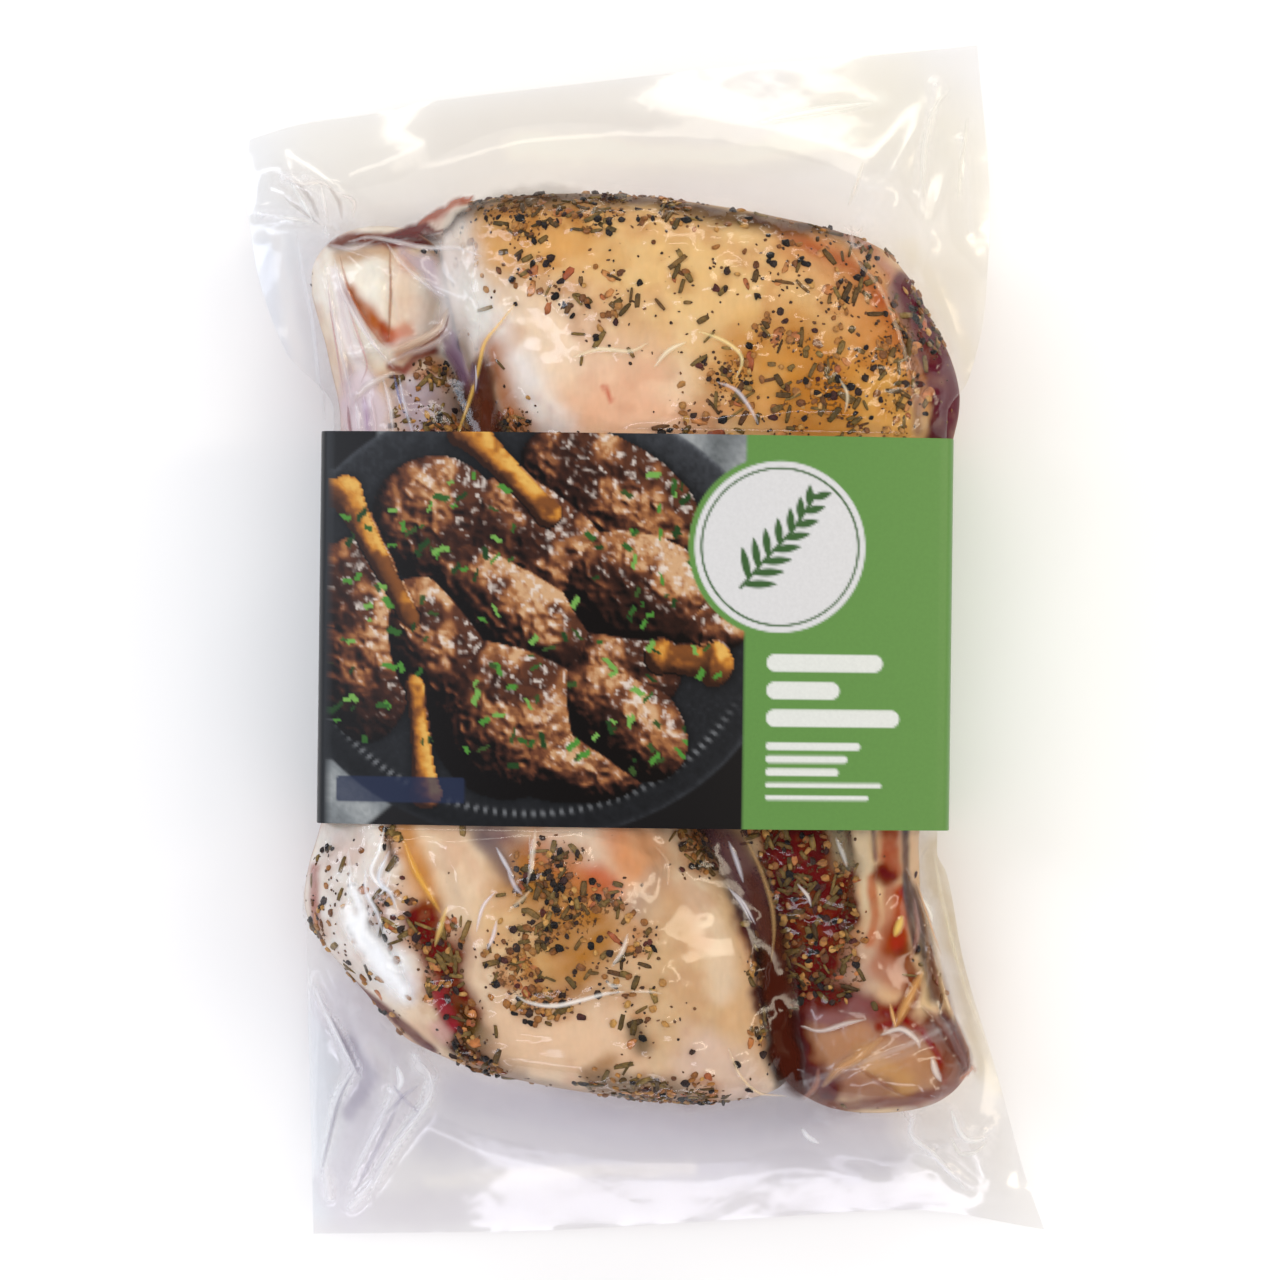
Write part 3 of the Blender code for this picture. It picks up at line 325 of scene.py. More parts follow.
# Grooves between the muscles: depth, half width, line
SEAMS_LEFT = {
    "red seam": (2.6, 3.7, -49.4, -49, -46.4, -67.6, -44, -80.4, -38.7, -94.3),
    "under the round": (1.2, 3.3, -32.4, -83.9, -17.3, -84.8, -1.1, -82),
    "by the peach": (1.2, 2.8, -1.1, -43.2, 4.7, -53.7, 1.3, -63),
    "ankle": (2, 2.8, -58, 62, -51, 65.3, -44, 68.3),
    "knuckle": (0.8, 1.4, -59.6, 96.2, -59.4, 81.1, -58.7, 68.3),
}
SEAMS_RIGHT = {
    "tendon, left": (1.8, 1.9, 47.7, -42, 48.4, -60.6, 46.6, -78.1),
    "tendon, right": (1.6, 1.9, 54.5, -42, 55.6, -56, 54.7, -69.9),
    "ankle": (2.6, 3.3, 32.6, -83.9, 43.1, -82.7, 54.7, -85, 60.5, -90.8),
    "lean edge": (1.4, 2.1, 55.8, 87.6, 61.2, 74.1, 64, 60.2, 64.4, 46.2),
    "red ridge": (1, 2.1, 30.3, 96.9, 39.6, 90.4, 50, 85.7),
    "knuckle": (1.2, 2.1, 52.4, -93.2, 46.6, -101.3, 36.1, -107.1),
}

# Folds of the film: half width, height, share of it left at the far end, whitening, line
FOLDS = {
    "knuckle to the top left corner": (3.5, 5, 0.2, 0.1, -66, 97.5, -87, 113),
    "knuckle to the left edge": (3, 3.5, 0.2, 0.1, -76, 96, -90.5, 99),
    "over the left knuckle": (1.8, 2.2, 0.5, 0.1, -76, 95, -44, 80),
    "down the left side": (2, 3, 0.8, 0.1, -77, 88, -69, 58),
    "below the left knuckle": (1.5, 1.6, 0.6, 0.1, -71, 66, -48, 72),
    "top right, outer": (3.5, 4, 0.2, 0.1, 52, 99, 68, 128),
    "top right, inner": (3, 3.5, 0.2, 0.1, 64, 85, 75, 118),
    "left ear, outer": (3, 4, 0.5, 0.1, -78, -81, -77, -127),
    "left ear, inner": (3.5, 5.5, 0.4, 0.1, -54, -102, -70, -129),
    "left ear, fold": (3, 4.5, 0.5, 0.1, -69, -88, -62, -113),
    "right knuckle to the corner": (3.5, 4.5, 0.2, 0.1, 69, -108, 86, -132),
    "over the right knuckle": (1.4, 1.6, 0.7, 0.1, 74, -90, 38, -104),
    "up the right shin": (1.8, 2.4, 0.4, 0.1, 72, -88, 65, -56),
    "below the right knuckle": (3.5, 3, 0.2, 0.1, 42, -113, 56, -126),
    "ear, outer edge": (1.5, 2.6, 0.9, 0.5, -78.7, -83.5, -74.6, -91.9, -69.3, -102.8, -74.6, -112.4,
        -77.1, -125.7, -75.9, -134.1),
    "ear, lobe": (1.5, 3, 0.8, 0.5, -54.1, -99.1, -50.8, -104.4, -52.2, -111.2, -59, -120.8, -65, -130.5,
        -70.5, -136.5),
    "ear, inner": (1.5, 2, 0.7, 0.3, -60.2, -107.6, -65.7, -118.4, -71, -131.7),
    "corner, 1": (1.5, 2.2, 0.6, 0.4, -86.7, 111.2, -79.5, 108.3, -73.4, 99.9),
    "corner, 2": (1.5, 2, 0.6, 0.4, -81.9, 110.7, -73.9, 105.9, -72.2, 99.9),
    "corner, 3": (1.5, 1.6, 0.5, 0.3, -92.3, 102.3, -81.9, 100.6, -75.9, 97.4),
    "bottom corner, 1": (1.5, 2, 0.5, 0.3, 62.8, -112.4, 64.5, -120.8, 78.5, -131.7),
    "bottom corner, 2": (1.5, 2, 0.5, 0.3, 72.5, -111.2, 77.3, -119.6, 83.3, -118.4),
    "bottom corner, 3": (1.5, 1.6, 0.5, 0.3, 76.1, -120.8, 80.9, -128.1, 83.3, -118.4),
    "top right, 1": (1.4, 1.4, 0.5, 0.2, 70.1, 133.6, 66.9, 117.9, 66, 98.7, 65.2, 85.4),
    "top right, 2": (1.2, 1, 0.5, 0.2, 76.6, 120.4, 78, 108.3, 78.5, 97.4),
    "right side": (1.6, 1.4, 0.5, 0.1, 67.5, -60.6, 70.9, -79.2, 74.4, -95.5),
}

# Thin folds pinched up out of the film, with painted glints: colour, half width, height, how much they hide,
# line
# The pale and golden lines are painted highlights, and the grey and lilac lines beside some of them painted
# shade
PINCHES = (
    # On the left knuckle and shin
    ("#9A5A34", 0.35, 0.25, 0.9, -59.6, 92, -59.4, 81.1, -60.1, 68.8),
    ("#B0603A", 0.35, 0.3, 0.9, -71.5, 89.9, -69.1, 81.5, -66.1, 76, -62.9, 71.1, -60.5, 68.3),
    ("#F8F0F0", 0.5, 0.5, 0.8, -72.8, 89.2, -70.8, 81.5, -67.5, 75, -63.8, 69.5, -60.5, 65.7),
    ("#C08C90", 0.35, 0.3, 0.8, -74.2, 83.4, -73.3, 74.6, -71.9, 64.8, -70.8, 56.7),
    ("#D8A8A8", 0.3, 0.3, 0.7, -69.8, 78.7, -66.8, 69.9, -65.2, 64.3, -66.6, 60.2),
    ("#8A5040", 0.35, 0.3, 0.8, -45.7, 76, -47.3, 72, -51.9, 68.8, -57.3, 66.4),
    ("#F0D8C0", 0.9, 0.5, 0.7, -46.1, 77.4, -48, 73.2, -52.2, 70.2, -60.1, 67.1),
    ("#8A4450", 0.4, 0.4, 0.8, -70.1, 55.1, -69.6, 50.9, -68.7, 46.7),
    ("#BFA2C4", 0.8, 0.5, 0.6, -66.1, 57.1, -65.2, 52, -64.7, 46.7),
    ("#5A70B0", 0.3, 0.3, 0.7, -58.9, 62.5, -58, 58.3, -56.4, 52.7),
    ("#6C5270", 0.8, 0.6, 0.8, -40.3, 64.8, -39.9, 61.1, -39.4, 57.4),
    ("#F4F0FA", 0.3, 0.8, 0.9, -39.6, 64.3, -39.4, 61.1, -39.6, 57.8),
    # Glints on the right shank's round
    ("#F9EDC8", 0.5, 0.5, 0.8, -16.6, 65, -10.4, 66.9, -3.4, 66.4, 0.8, 68.3),
    ("#FBF2D4", 0.5, 0.5, 0.85, 2.2, 62.7, 5.4, 66.4, 9.6, 68.5),
    ("#FFE9A8", 0.45, 0.5, 0.9, 12.4, 70.9, 18, 68.8, 21.7, 66, 22.4, 63.4, 21, 59.9),
    ("#EFE6EC", 0.45, 0.5, 0.75, 16.6, 59.2, 21, 57.4, 24, 53.7, 26.3, 49.5),
    ("#F6E6C4", 0.4, 0.4, 0.7, 44.9, 60.2, 46.8, 56.4, 46.3, 52.3),
    # Mostly painted glints on the right shank's shin
    ("#5A3426", 0.8, 0.5, 0.8, 62.3, -56.9, 64.4, -61.8, 65.8, -67.6, 67.9, -72.7),
    ("#D6A676", 0.4, 0.6, 0.9, 63.5, -56, 66.3, -63.4, 68.9, -71.1, 70.5, -75),
    ("#F6F2E6", 0.5, 0.5, 0.9, 64.9, -60.2, 67.7, -64.8, 68.2, -67.6),
    ("#FFE27A", 0.9, 0.5, 0.9, 60.5, -64.8, 59.6, -67.6, 58.6, -69.9),
    ("#F4EEEA", 0.4, 0.5, 0.8, 35.6, -57.1, 38, -59.9, 38.9, -62.5),
    ("#EDEAE4", 0.5, 0.5, 0.7, 44.5, -46.2, 46.3, -50.4, 47.2, -53.2),
    ("#F4C078", 0.45, 0.7, 0.9, 57.5, -85.3, 58.2, -88.5, 58.9, -91.3),
    # Painted glints along the edges of both rounds
    ("#EBCFA8", 0.35, 0.4, 0.8, 19.4, -95, 22.2, -101.5, 26.8, -106.2, 33.8, -108),
    ("#FFFFFF", 0.45, 0.5, 0.9, -60.3, -43.4, -61.5, -49, -63.3, -54.1, -60.1, -57.8, -58.7, -53.7),
    ("#F2F0F8", 0.45, 0.5, 0.8, -34.3, -48.1, -32.2, -51.8, -30.3, -55.1),
    ("#EDE8F4", 0.4, 0.5, 0.8, -34.5, -58.3, -37.3, -61.8, -38.9, -67.6),
    ("#F6E8D4", 0.5, 0.4, 0.7, -25.2, -43.9, -25.7, -49, -26.2, -54.1),
    ("#EDE9F2", 0.35, 0.5, 0.8, 20.5, -58.8, 23.1, -61.6, 25.9, -66.7),
    # Painted glints round the left knuckle, and on the pocket of film beside it
    ("#F6F2F4", 0.55, 0.5, 0.6, -69.6, 93.2, -63.3, 94.1, -52.2, 92, -44, 91.3, -37.8, 89),
    ("#EFE4E4", 0.5, 0.5, 0.5, -74.2, 92.7, -68.4, 91.3, -62.9, 93.6),
    ("#F4EEF2", 0.5, 0.5, 0.5, -60.5, 92.7, -56.4, 87.6, -50.3, 82.2, -46.1, 79.7),
    ("#E3D3D0", 0.8, 0.6, 0.5, -45.9, 77.6, -45.7, 72.9, -48.7, 69.5, -55.7, 66.7, -60.3, 64.3),
    ("#FFCB66", 0.5, 0.45, 0.9, -30.1, 77.6, -34.1, 72.9, -37.3, 69, -38.9, 63, -41, 56, -44.3, 46.7),
    ("#F4ECEE", 0.6, 0.7, 0.6, -74.9, 87.6, -73.1, 76.4, -70.8, 66, -68.9, 57.4),
    ("#EFE4E6", 0.6, 0.7, 0.6, -72.2, 87.6, -68, 77.6, -63.3, 69, -58.7, 63.4),
    ("#F3EAE4", 0.8, 0.7, 0.7, -68.4, 56, -64.7, 59.7, -58.7, 62.5),
    ("#E6D6DA", 0.4, 0.4, 0.4, -72.2, 83.4, -70.3, 74.1, -68, 66.7, -63.8, 63.4),
    ("#F6F0F4", 0.5, 0.7, 0.7, -68, 56.4, -67.3, 52, -66.6, 47.2),
    ("#EBD9E0", 0.5, 0.7, 0.6, -64.7, 58.3, -63.6, 52.7, -62.9, 47.2),
    ("#F8F4F8", 0.5, 0.7, 0.7, -61.5, 61.6, -59.6, 54.4, -58.7, 47.2),
    ("#DDE2F4", 0.4, 0.5, 0.7, -57.7, 62, -56.4, 55.5, -54, 47.2),
    ("#E4E6EE", 0.5, 0.5, 0.4, -83.1, 97.2, -81.9, 90.2, -78.7, 74.5, -77.1, 52.8),
    # Painted glints by the right edge and under the round
    ("#E9C7A4", 0.4, 0.45, 0.5, 46.6, 92.7, 49.6, 87.6, 55.1, 80.6, 59.8, 68.3, 61.2, 60.2),
    ("#EBDCD4", 0.5, 0.5, 0.6, 45.9, 96.9, 49.1, 94.5, 51.4, 96.9),
    ("#E3CFC6", 0.5, 0.5, 0.6, 48.2, 96.9, 48.6, 91.3, 51.9, 92.7),
    ("#FFFBF4", 0.5, 0.6, 0.95, -29.9, -82.2, -26.6, -84.1, -20.8, -84.8, -15, -83.6, -9.2, -82,
        -4.6, -81.5),
    ("#F6E8D4", 0.35, 0.4, 0.6, -3.4, -81.5, 1.3, -81.5, 4, -82),
    ("#F1EEF6", 0.5, 0.5, 0.8, 19.6, -47.2, 21.5, -51.8, 23.1, -56.9),
    ("#E6E2EA", 0.4, 0.4, 0.7, 19.4, -57.8, 22.6, -61.8, 24.9, -66.2),
    ("#C8A06A", 0.5, 0.5, 0.7, 22.6, -44.8, 26.8, -53.2, 29.6, -61.8, 30.3, -68.8, 29.6, -75.7),
    # Painted glints on the left shank's round
    ("#F4F6FC", 0.5, 0.5, 0.8, -64.7, -53.2, -64.5, -58.3, -61.9, -63.4, -60.5, -68.1),
    ("#E8F0FC", 0.6, 0.6, 0.8, -59.1, -49, -61.5, -55.5, -58.7, -58.8, -57.3, -62.5),
    ("#F6F6F8", 0.5, 0.4, 0.5, -68.9, -49, -68.4, -56, -68.9, -61.8),
    ("#F2B84E", 0.7, 0.6, 0.8, -55.9, -46.2, -53.1, -53.2, -49.4, -59.5, -47.1, -63.4),
    ("#F6CF7C", 0.6, 0.5, 0.8, -45.7, -61.8, -47.1, -66.4, -48.5, -71.1),
    ("#EDE7F0", 0.5, 0.5, 0.7, -31.7, -53.2, -29.9, -57.1, -28.2, -59),
    ("#F3ECF4", 0.45, 0.5, 0.8, -34.1, -64.8, -35, -68.8, -36.4, -71.8),
    ("#E9D9CC", 0.4, 0.4, 0.6, -26.6, -45.5, -26.2, -51.3, -27.1, -56.9),
    ("#F0D9B8", 0.45, 0.4, 0.6, -31.7, -63, -28.5, -60.2, -26.2, -57.8),
    ("#EFE6DC", 0.5, 0.5, 0.8, -3.9, -68.1, -5.2, -72.2, -7.6, -75.7),
    ("#F2E9DC", 0.45, 0.4, 0.7, -9, -78.7, -7.6, -80.1, -5.2, -80.1),
    ("#F0C9A6", 0.4, 0.4, 0.5, 2.4, -47.9, 5.4, -51.8, 5.4, -57.1),
    # On the right shin and knuckle
    ("#E2AA66", 1.1, 0.9, 0.95, 65.4, -78.1, 63, -82.5, 60.3, -87.6, 58.4, -91.3),
    ("#B98478", 0.7, 0.7, 0.6, 63.5, -60.6, 64.4, -68.8, 62.6, -75),
    ("#CE9C6C", 1, 0.8, 0.85, 55.6, -93.2, 50.5, -97.3, 45.4, -100.6, 41.7, -105.2),
    ("#E9DDD6", 0.5, 0.5, 0.8, 36.6, -90.8, 41.2, -91.8, 47.2, -89.9, 51.9, -89),
    ("#F2E9E2", 0.6, 0.5, 0.85, 55.1, -92.7, 59.8, -91.3, 63.5, -93.6, 64.4, -95.9),
    ("#F4ECE6", 0.7, 0.6, 0.85, 67.2, -97.8, 68.2, -101.3, 69.6, -103.8),
    ("#8A4A36", 0.6, 0.6, 0.6, 49.1, -99.7, 54.7, -103.4, 60.5, -107.1),
    ("#6A2A1E", 0.9, 0.7, 0.8, 65.1, -86.2, 69.8, -90.8, 73.7, -97.8, 76.1, -101.5),
    ("#5A1A12", 0.9, 0.7, 0.8, 72.8, -88.5, 74.7, -93.2, 76.8, -100.1, 74.2, -102.9),
    ("#C98B74", 0.6, 0.5, 0.6, 40.7, -100.6, 40.3, -104.8, 37.5, -108.9),
    ("#A87A50", 0.6, 0.8, 0.5, 61.2, -53.7, 64.4, -60.6, 66.8, -69.9, 66.3, -80.4),
    ("#C9A874", 0.7, 0.8, 0.5, 65.1, -61.8, 68.6, -72.2, 70.9, -85, 73.7, -90.8),
    ("#E9DFC4", 0.6, 0.5, 0.5, 68.9, -50.9, 71.3, -63, 76.6, -82.2, 82.1, -96.7),
    # Painted highlights and painted shade on the loose ear at the bottom left
    ("#F8F7FA", 0.6, 0.8, 0.8, -79.2, -81.8, -75.9, -89.5, -69.8, -102, -69.1, -104.4),
    ("#A9A6B4", 0.5, 0.6, 0.7, -69.3, -103, -73, -110, -75.9, -120.8, -77.8, -128.6),
    ("#F8F7FA", 0.5, 0.7, 0.8, -55.3, -97.2, -51.2, -102, -50.5, -107.6, -53.7, -113.1, -59.5, -120.8,
        -64.3, -130, -67.2, -137.2),
    ("#8E889C", 0.5, 0.5, 0.6, -74.9, -90, -70.5, -99.1, -68.1, -104.9),
    ("#9690A4", 0.5, 0.5, 0.6, -58, -109.3, -61.4, -116.5, -65.7, -125.2, -69.6, -132.9),
    ("#FFFFFF", 0.8, 0.5, 0.9, -59, -101.5, -58, -104.9, -59, -107.8),
    ("#F4F3F8", 0.6, 0.7, 0.7, -59.5, -106.9, -62.8, -114.1, -67.2, -123.3, -71.5, -132.4),
    ("#B9B4C4", 0.5, 0.5, 0.6, -61.9, -113.6, -57.8, -109.3, -53.7, -105.9),
    ("#B4AEC0", 0.5, 0.5, 0.6, -59.9, -106.4, -57, -110.2, -53.7, -113.6),
    # Painted highlights and painted shade in the top left corner
    ("#F4EDE8", 0.5, 0.6, 0.7, -87.4, 111.7, -83.1, 109.3, -77.8, 109.7, -73.9, 106.9),
    ("#F6F0EC", 0.5, 0.6, 0.7, -77.8, 109.7, -76.8, 104.7, -75.4, 99.1),
    ("#EFE2DC", 0.5, 0.6, 0.6, -73.9, 106.9, -69.6, 104.7, -69.1, 99.6),
    ("#F3EEE6", 0.5, 0.5, 0.6, -88.4, 101.5, -83.1, 100.6, -79.2, 99.6),
    ("#A39690", 0.5, 0.5, 0.6, -83.6, 109.7, -80.4, 105.9, -77.8, 100.6),
    ("#A8978E", 0.5, 0.5, 0.6, -75.9, 108.8, -73, 104.4, -71.8, 99.6),
    ("#B0A6A2", 0.4, 0.5, 0.6, -86.9, 106.4, -82.6, 103, -77.3, 98.7),
    ("#F6F6F6", 0.5, 0.6, 0.7, -85.5, 110.7, -82.1, 104.9, -78.7, 98.7),
    # Painted highlights in the bottom corners
    ("#F6F5F8", 0.6, 0.7, 0.8, 63.1, -113.1, 63.6, -118.4, 68.9, -123.3, 73.7, -128.6, 77.6, -132.9),
    ("#F8F7F6", 0.6, 0.6, 0.8, 72.5, -111.2, 75.6, -118.4, 79, -120.4, 82.9, -119.4),
    ("#EFEBE2", 0.5, 0.6, 0.7, 73.2, -118.9, 75.6, -123.3, 79, -123.3, 82.4, -120.8),
    ("#FFFFFF", 0.6, 0.5, 0.8, 37.5, -116.5, 39, -118.9, 41.9, -120.8),
    # Painted highlights on the top skirt
    ("#FFFDF2", 1.2, 0.35, 0.6, 27.1, 123.7, 35.1, 125.7, 44.7, 127.6, 54.9, 129),
    ("#F8F6EE", 0.7, 0.6, 0.6, 73.7, 132.9, 69.8, 127.6, 67.4, 117.9, 66.9, 105.9),
    ("#F4F0E2", 0.5, 0.5, 0.5, 78, 125.7, 76.6, 115.5, 75.6, 105.9),
    ("#E9DCCB", 0.5, 0.4, 0.5, 52.5, 114.3, 50.1, 107.1, 48.1, 102.3),
)

# Crumpled film: height, size of a facet, half width, softness, line
CRUMPLES = {
    "top left corner": (2.2, 9, 7.9, 4.6, -85.5, 108.3, -74.6, 100.6),
    "beside the shin": (1.2, 8, 6, 3.7, -70.8, 81.1, -68, 48.6),
    "knuckle": (0.5, 11, 11.6, 4.6, -62.6, 82.2, -56.8, 81.1),
    "top right corner": (0.9, 6, 4.2, 2.8, 47.7, 93.8, 54.7, 90.4),
    "left ear": (2.2, 17, 9.3, 5.6, -71, -87.1, -62.6, -111.2, -71, -128.1),
    "right knuckle": (1, 10, 11.6, 5.6, 43.1, -96.6, 68.6, -101.3),
    "bottom right corner": (1.8, 11, 9.3, 5.6, 68.9, -114.8, 82.1, -125.7),
    "right side": (0.9, 9, 6, 3.7, 62.8, -49, 69.8, -83.9),
    "left side": (0.5, 12, 9.3, 5.6, -69.6, -49, -59.1, -76.9),
    "by the sleeve": (0.5, 9, 8.4, 5.6, -38.2, -46.7, -3.4, -51.3),
}

# The paint's edges and mottling
LATTICE, SEED_STRIDE, SEED_SHIFT = 64, 31, (7.3, 3.1)
EDGE_DRIFT, EDGE_SIZE, MOTTLE_SIZE, MOTTLE = 4.5, 5.5, 3.0, (0.80, 0.40)
FULL_DRIFT_FROM = 5.0  # zones of a smaller half width wander less, and stay where they are seen
BARE_SEASONING, CLUMP_SIZE, CLUMP_EDGE, UNCLUMPED = 0.06, 7.0, (0.38, 0.62), 0.2
SPICE_STAIN, STAIN_SHARE, STAIN_SIZE = "#A8601F", 0.70, 3.2  # spice oil colours the fat round the grains
BLUSH, BLUSH_SHARE, BLUSH_SIZE = "#B86A48", 0.24, 9.0  # lean that shows through where the fat is thin
LIGHT_GAIN, VEIL = 1.07, 0.030  # what the studio and the film over it add to the paint's own light
UNDER_SIZE, UNDER_FAT, UNDER_LEAN = 22.0, "#E2C4A6", "#8E4838"
UNDER_SPLIT, UNDER_FROM, UNDER_SLANT = (0.40, 0.58), (-0.25, 0.1), 0.6  # lean's share, steepness, slope
FILM_HAZE, HAZE_OVER_MEAT, HAZE_ON_SKIRTS = "#F2F1EE", 0.004, 0.03
CREASE_WHITE, FOLD_WHITENS, BEND_WHITENS, WHITEST = "#F7F6F8", 0.5, 0.7, 0.6
MARK_DRIFT, MARK_DRIFT_SIZE = 3.0, 5.0
SKIRT_GROUND, FILM_OVER_MEAT = "#E9E8E8", "#FEFDFC"
FLOOR_GIVES, FILM_PASSES = 0.9, 4  # light that the floor gives back, and its passes through the film

# The section of a pinched fold: across in half widths, height as a share, how much it shows
PINCH_SECTION = ((-1.8, 0.0, 0.0), (-0.8, 0.5, 0.7), (-0.1, 1.0, 1.0), (0.5, 0.7, 0.8), (1.8, 0.0, 0.0))
PINCH_STEP, PINCH_TAPER, PINCH_WIDTH, PINCH_LIFT, PINCH_SHOWS = 0.6, 0.5, 0.85, 0.04, 0.75

# Where each piece's own random numbers start
MEAT_SEEDS, SKIRT_SEED, SEASONING_SEED, CRUMPLE_SEED, WRINKLE_SEED = (11, 17), 75, 5, 40, 60
CLUMP_SEED, MARK_SEED, LEAF_SEED = 90, 95, 77

# Seasoning: size and its spread, roughness and bend of the shape, lean in degrees, lift in heights of the
# grain, how many places are tried, which share of them and at most how many are taken, and the finish
FREE_OF_OTHER, LOWEST_GRAIN = 0.3, 7.0
KINDS = {
    "rosemary": {
        "shape": "needle", "size": (3.2, 1.1, 0.85), "spread": 0.5, "rough": 0.08, "bend": 0.3, "lean": 5,
        "lift": 0.15, "tries": 8000, "share": 0.62, "most": 2200, "rim": 0.3, "roughness": 0.5, "mottle": 0.8,
        "tones": ("#4A3210", "#6A4E1E", "#7C622C", "#544014", "#8E7238", "#603A18"), "depth": 0.35, "bump": 1,
    },
    "cracked_pepper": {
        "shape": "ball", "size": (1.9, 1.6, 1.2), "spread": 0.45, "rough": 0.28, "bend": 0, "lean": 20,
        "lift": 0.15, "tries": 7000, "share": 0.42, "most": 1600, "rim": 0.1, "roughness": 0.55, "mottle": 0.7,
        "tones": ("#0E0B0C", "#1E1614", "#3A241A", "#141118", "#5A2218"), "depth": 0.4, "bump": 1,
    },
    "garlic": {
        "shape": "ball", "size": (1.9, 1.6, 1.0), "spread": 0.4, "rough": 0.2, "bend": 0, "lean": 12,
        "lift": 0.12, "tries": 9000, "share": 0.62, "most": 2600, "rim": 0.35, "roughness": 0.45, "mottle": 0.8,
        "tones": ("#84501F", "#AE7434", "#C59650", "#945E2A", "#683C1C"), "depth": 0.25, "bump": 1,
    },
    "onion_flakes": {
        "shape": "flake", "size": (3.0, 2.2, 0.5), "spread": 0.5, "rough": 0.22, "bend": 0.2, "lean": 4,
        "lift": 0.0, "tries": 3000, "share": 0.26, "most": 320, "rim": 0.2, "roughness": 0.4, "mottle": 1.4,
        "tones": ("#B5652E", "#C98A4C", "#9C4A26", "#C98A4C"), "depth": 0.25, "bump": 0,
    },
    "ground_pepper": {
        "shape": "speck", "size": (0.8, 0.7, 0.5), "spread": 0.5, "rough": 0.25, "bend": 0, "lean": 20,
        "lift": 0.1, "tries": 22000, "share": 0.7, "most": 9000, "rim": 0.1, "roughness": 0.6, "mottle": 0.5,
        "tones": ("#2A1A12", "#5A3820", "#7A5028", "#3A2A20", "#8A5A30"), "depth": 0.3, "bump": 0,
    },
}

# The print on the sleeve, from the middle of its front panel
PRINT_LIFT, BACK_STEP, CROWN_REACH = 0.08, 1.5, 0.995
PICTURE_EDGE = 25.3
INK_STRENGTH = 0.72  # ink on board gives back less light than its colour chart says
LEAF_GREEN, BADGE_WHITE, BAR_WHITE = "#6AA04A", "#EDEDEE", "#F4F7F1"
BAND_BLUE, SIDE_SLATE = "#1E2C50", "#26282C"
TABLE_TONES, TABLE_PLANK = ("#0E0D0F", "#1D1A1B", "#3A332E"), 26.0
LINEN_TONES, LINEN_FOLD, LINEN_SWAY = ("#4A5052", "#8B9194", "#BCC0C0"), 2.6, 14.0
LINEN_PATCHES = (
    ((12.0, 42.5), (15.0, 8.0), -14.0), ((-48.0, 45.0), (13.0, 4.5), 6.0), ((-68.0, -40.0), (10.0, 9.0), 40.0),
)
PLATE_CENTRE, PLATE_RADIUS, PLATE_WELL, PLATE_TILT = (-24.7, 3.0), 60.0, 46.0, 0.86
PLATE_TONES, GLAZE_SPECK = ("#131417", "#24262B", "#44484F", "#7C8188"), 0.9
DASHES, DASH_RADIUS, DASHES_BELOW, DASH_GREY = 150, 53.0, -14.0, "#A9ADB2"
# Lumps of meat: middle, half sizes, turn, height. Bones: from, to, half width at each end
BRAISED_LUMPS = (
    ((-5.9, 31.6), (23.0, 12.5), -28.0, 9.0), ((-24.0, 20.0), (20.0, 15.0), -20.0, 12.0),
    ((-46.7, 25.0), (15.0, 15.0), 0.0, 11.0), ((-63.7, -2.8), (12.5, 24.0), 6.0, 12.0),
    ((15.8, 1.2), (10.0, 6.0), -8.0, 8.0), ((-1.0, 9.7), (18.0, 14.0), -12.0, 17.0),
    ((-3.0, -8.7), (14.0, 12.0), 0.0, 12.0), ((-29.1, 5.0), (22.0, 12.0), -35.0, 17.0),
    ((-46.0, -3.8), (13.0, 17.0), 30.0, 17.0), ((-30.0, -19.5), (18.0, 20.0), 10.0, 21.0),
    ((-16.0, -31.0), (19.0, 9.0), -5.0, 15.0), ((-3.5, -20.5), (18.0, 12.0), -38.0, 19.0),
)
BONES = (
    ((-67.8, 31.0), (-52.0, 2.0), 4.0, 2.2), ((-39.3, 46.0), (-20.5, 27.0), 4.6, 3.0),
    ((6.5, -6.0), (17.5, -7.5), 3.8, 5.0), ((-51.0, -13.0), (-48.0, -38.0), 2.0, 3.6),
)
BONE_LIFT, BONE_WAIST, BONE_ENDS = 14.5, 0.78, 0.30
BRAISED_TONES = ("#0F0705", "#421D0D", "#7C421F", "#BA7840", "#F2C898")
BONE_TONES = ("#3A1A06", "#94520E", "#DC8E20", "#F6C05A")
GLAZE, CHAR_SIZE, GLAZE_SIZE = "#FBF1E6", 8.0, 1.1
LIGHT_FROM = (-0.55, -0.60, 0.68)
LEAF_COUNT, LEAF_TONES = 170, ("#2F6A1E", "#4F9A2E", "#1E4A16", "#7CB84E", "#3A5A1E")
LEAF_SPAN = ((-72.0, 24.0), (-36.0, 36.0))
SHADOW_STEPS, SHADOW = 14, 0.65
BADGE_CENTRE, BADGE_RADIUS, BADGE_RING, BADGE_LINE = (33.3, 19.8), 19.8, 1.4, (1.6, 0.3)
SPRIG_GREEN = "#3E6B33"
SPRIG_STEM, SPRIG_STEM_EDGE = ((-9.0, -9.5), (-3.5, -3.0), (3.0, 4.0), (8.0, 12.0)), (0.15, 0.65)
SPRIG_LEAVES, SPRIG_LEAF, SPRIG_LEAF_WIDE, SPRIG_BEARING = 15, 7.5, 0.95, 52.0
BAND = ((-54.0, -37.5), (30.0, 6.0))
PALE_BARS = (
    (30.5, -7.0, 27.0, 4.0), (30.5, -13.4, 17.0, 4.0), (30.5, -19.8, 31.0, 4.0),
    (30.5, -26.3, 22.0, 1.7), (30.5, -29.3, 19.0, 1.7), (30.5, -32.3, 17.0, 1.7),
    (30.5, -35.3, 27.0, 1.1), (30.5, -38.2, 24.0, 1.1),
)
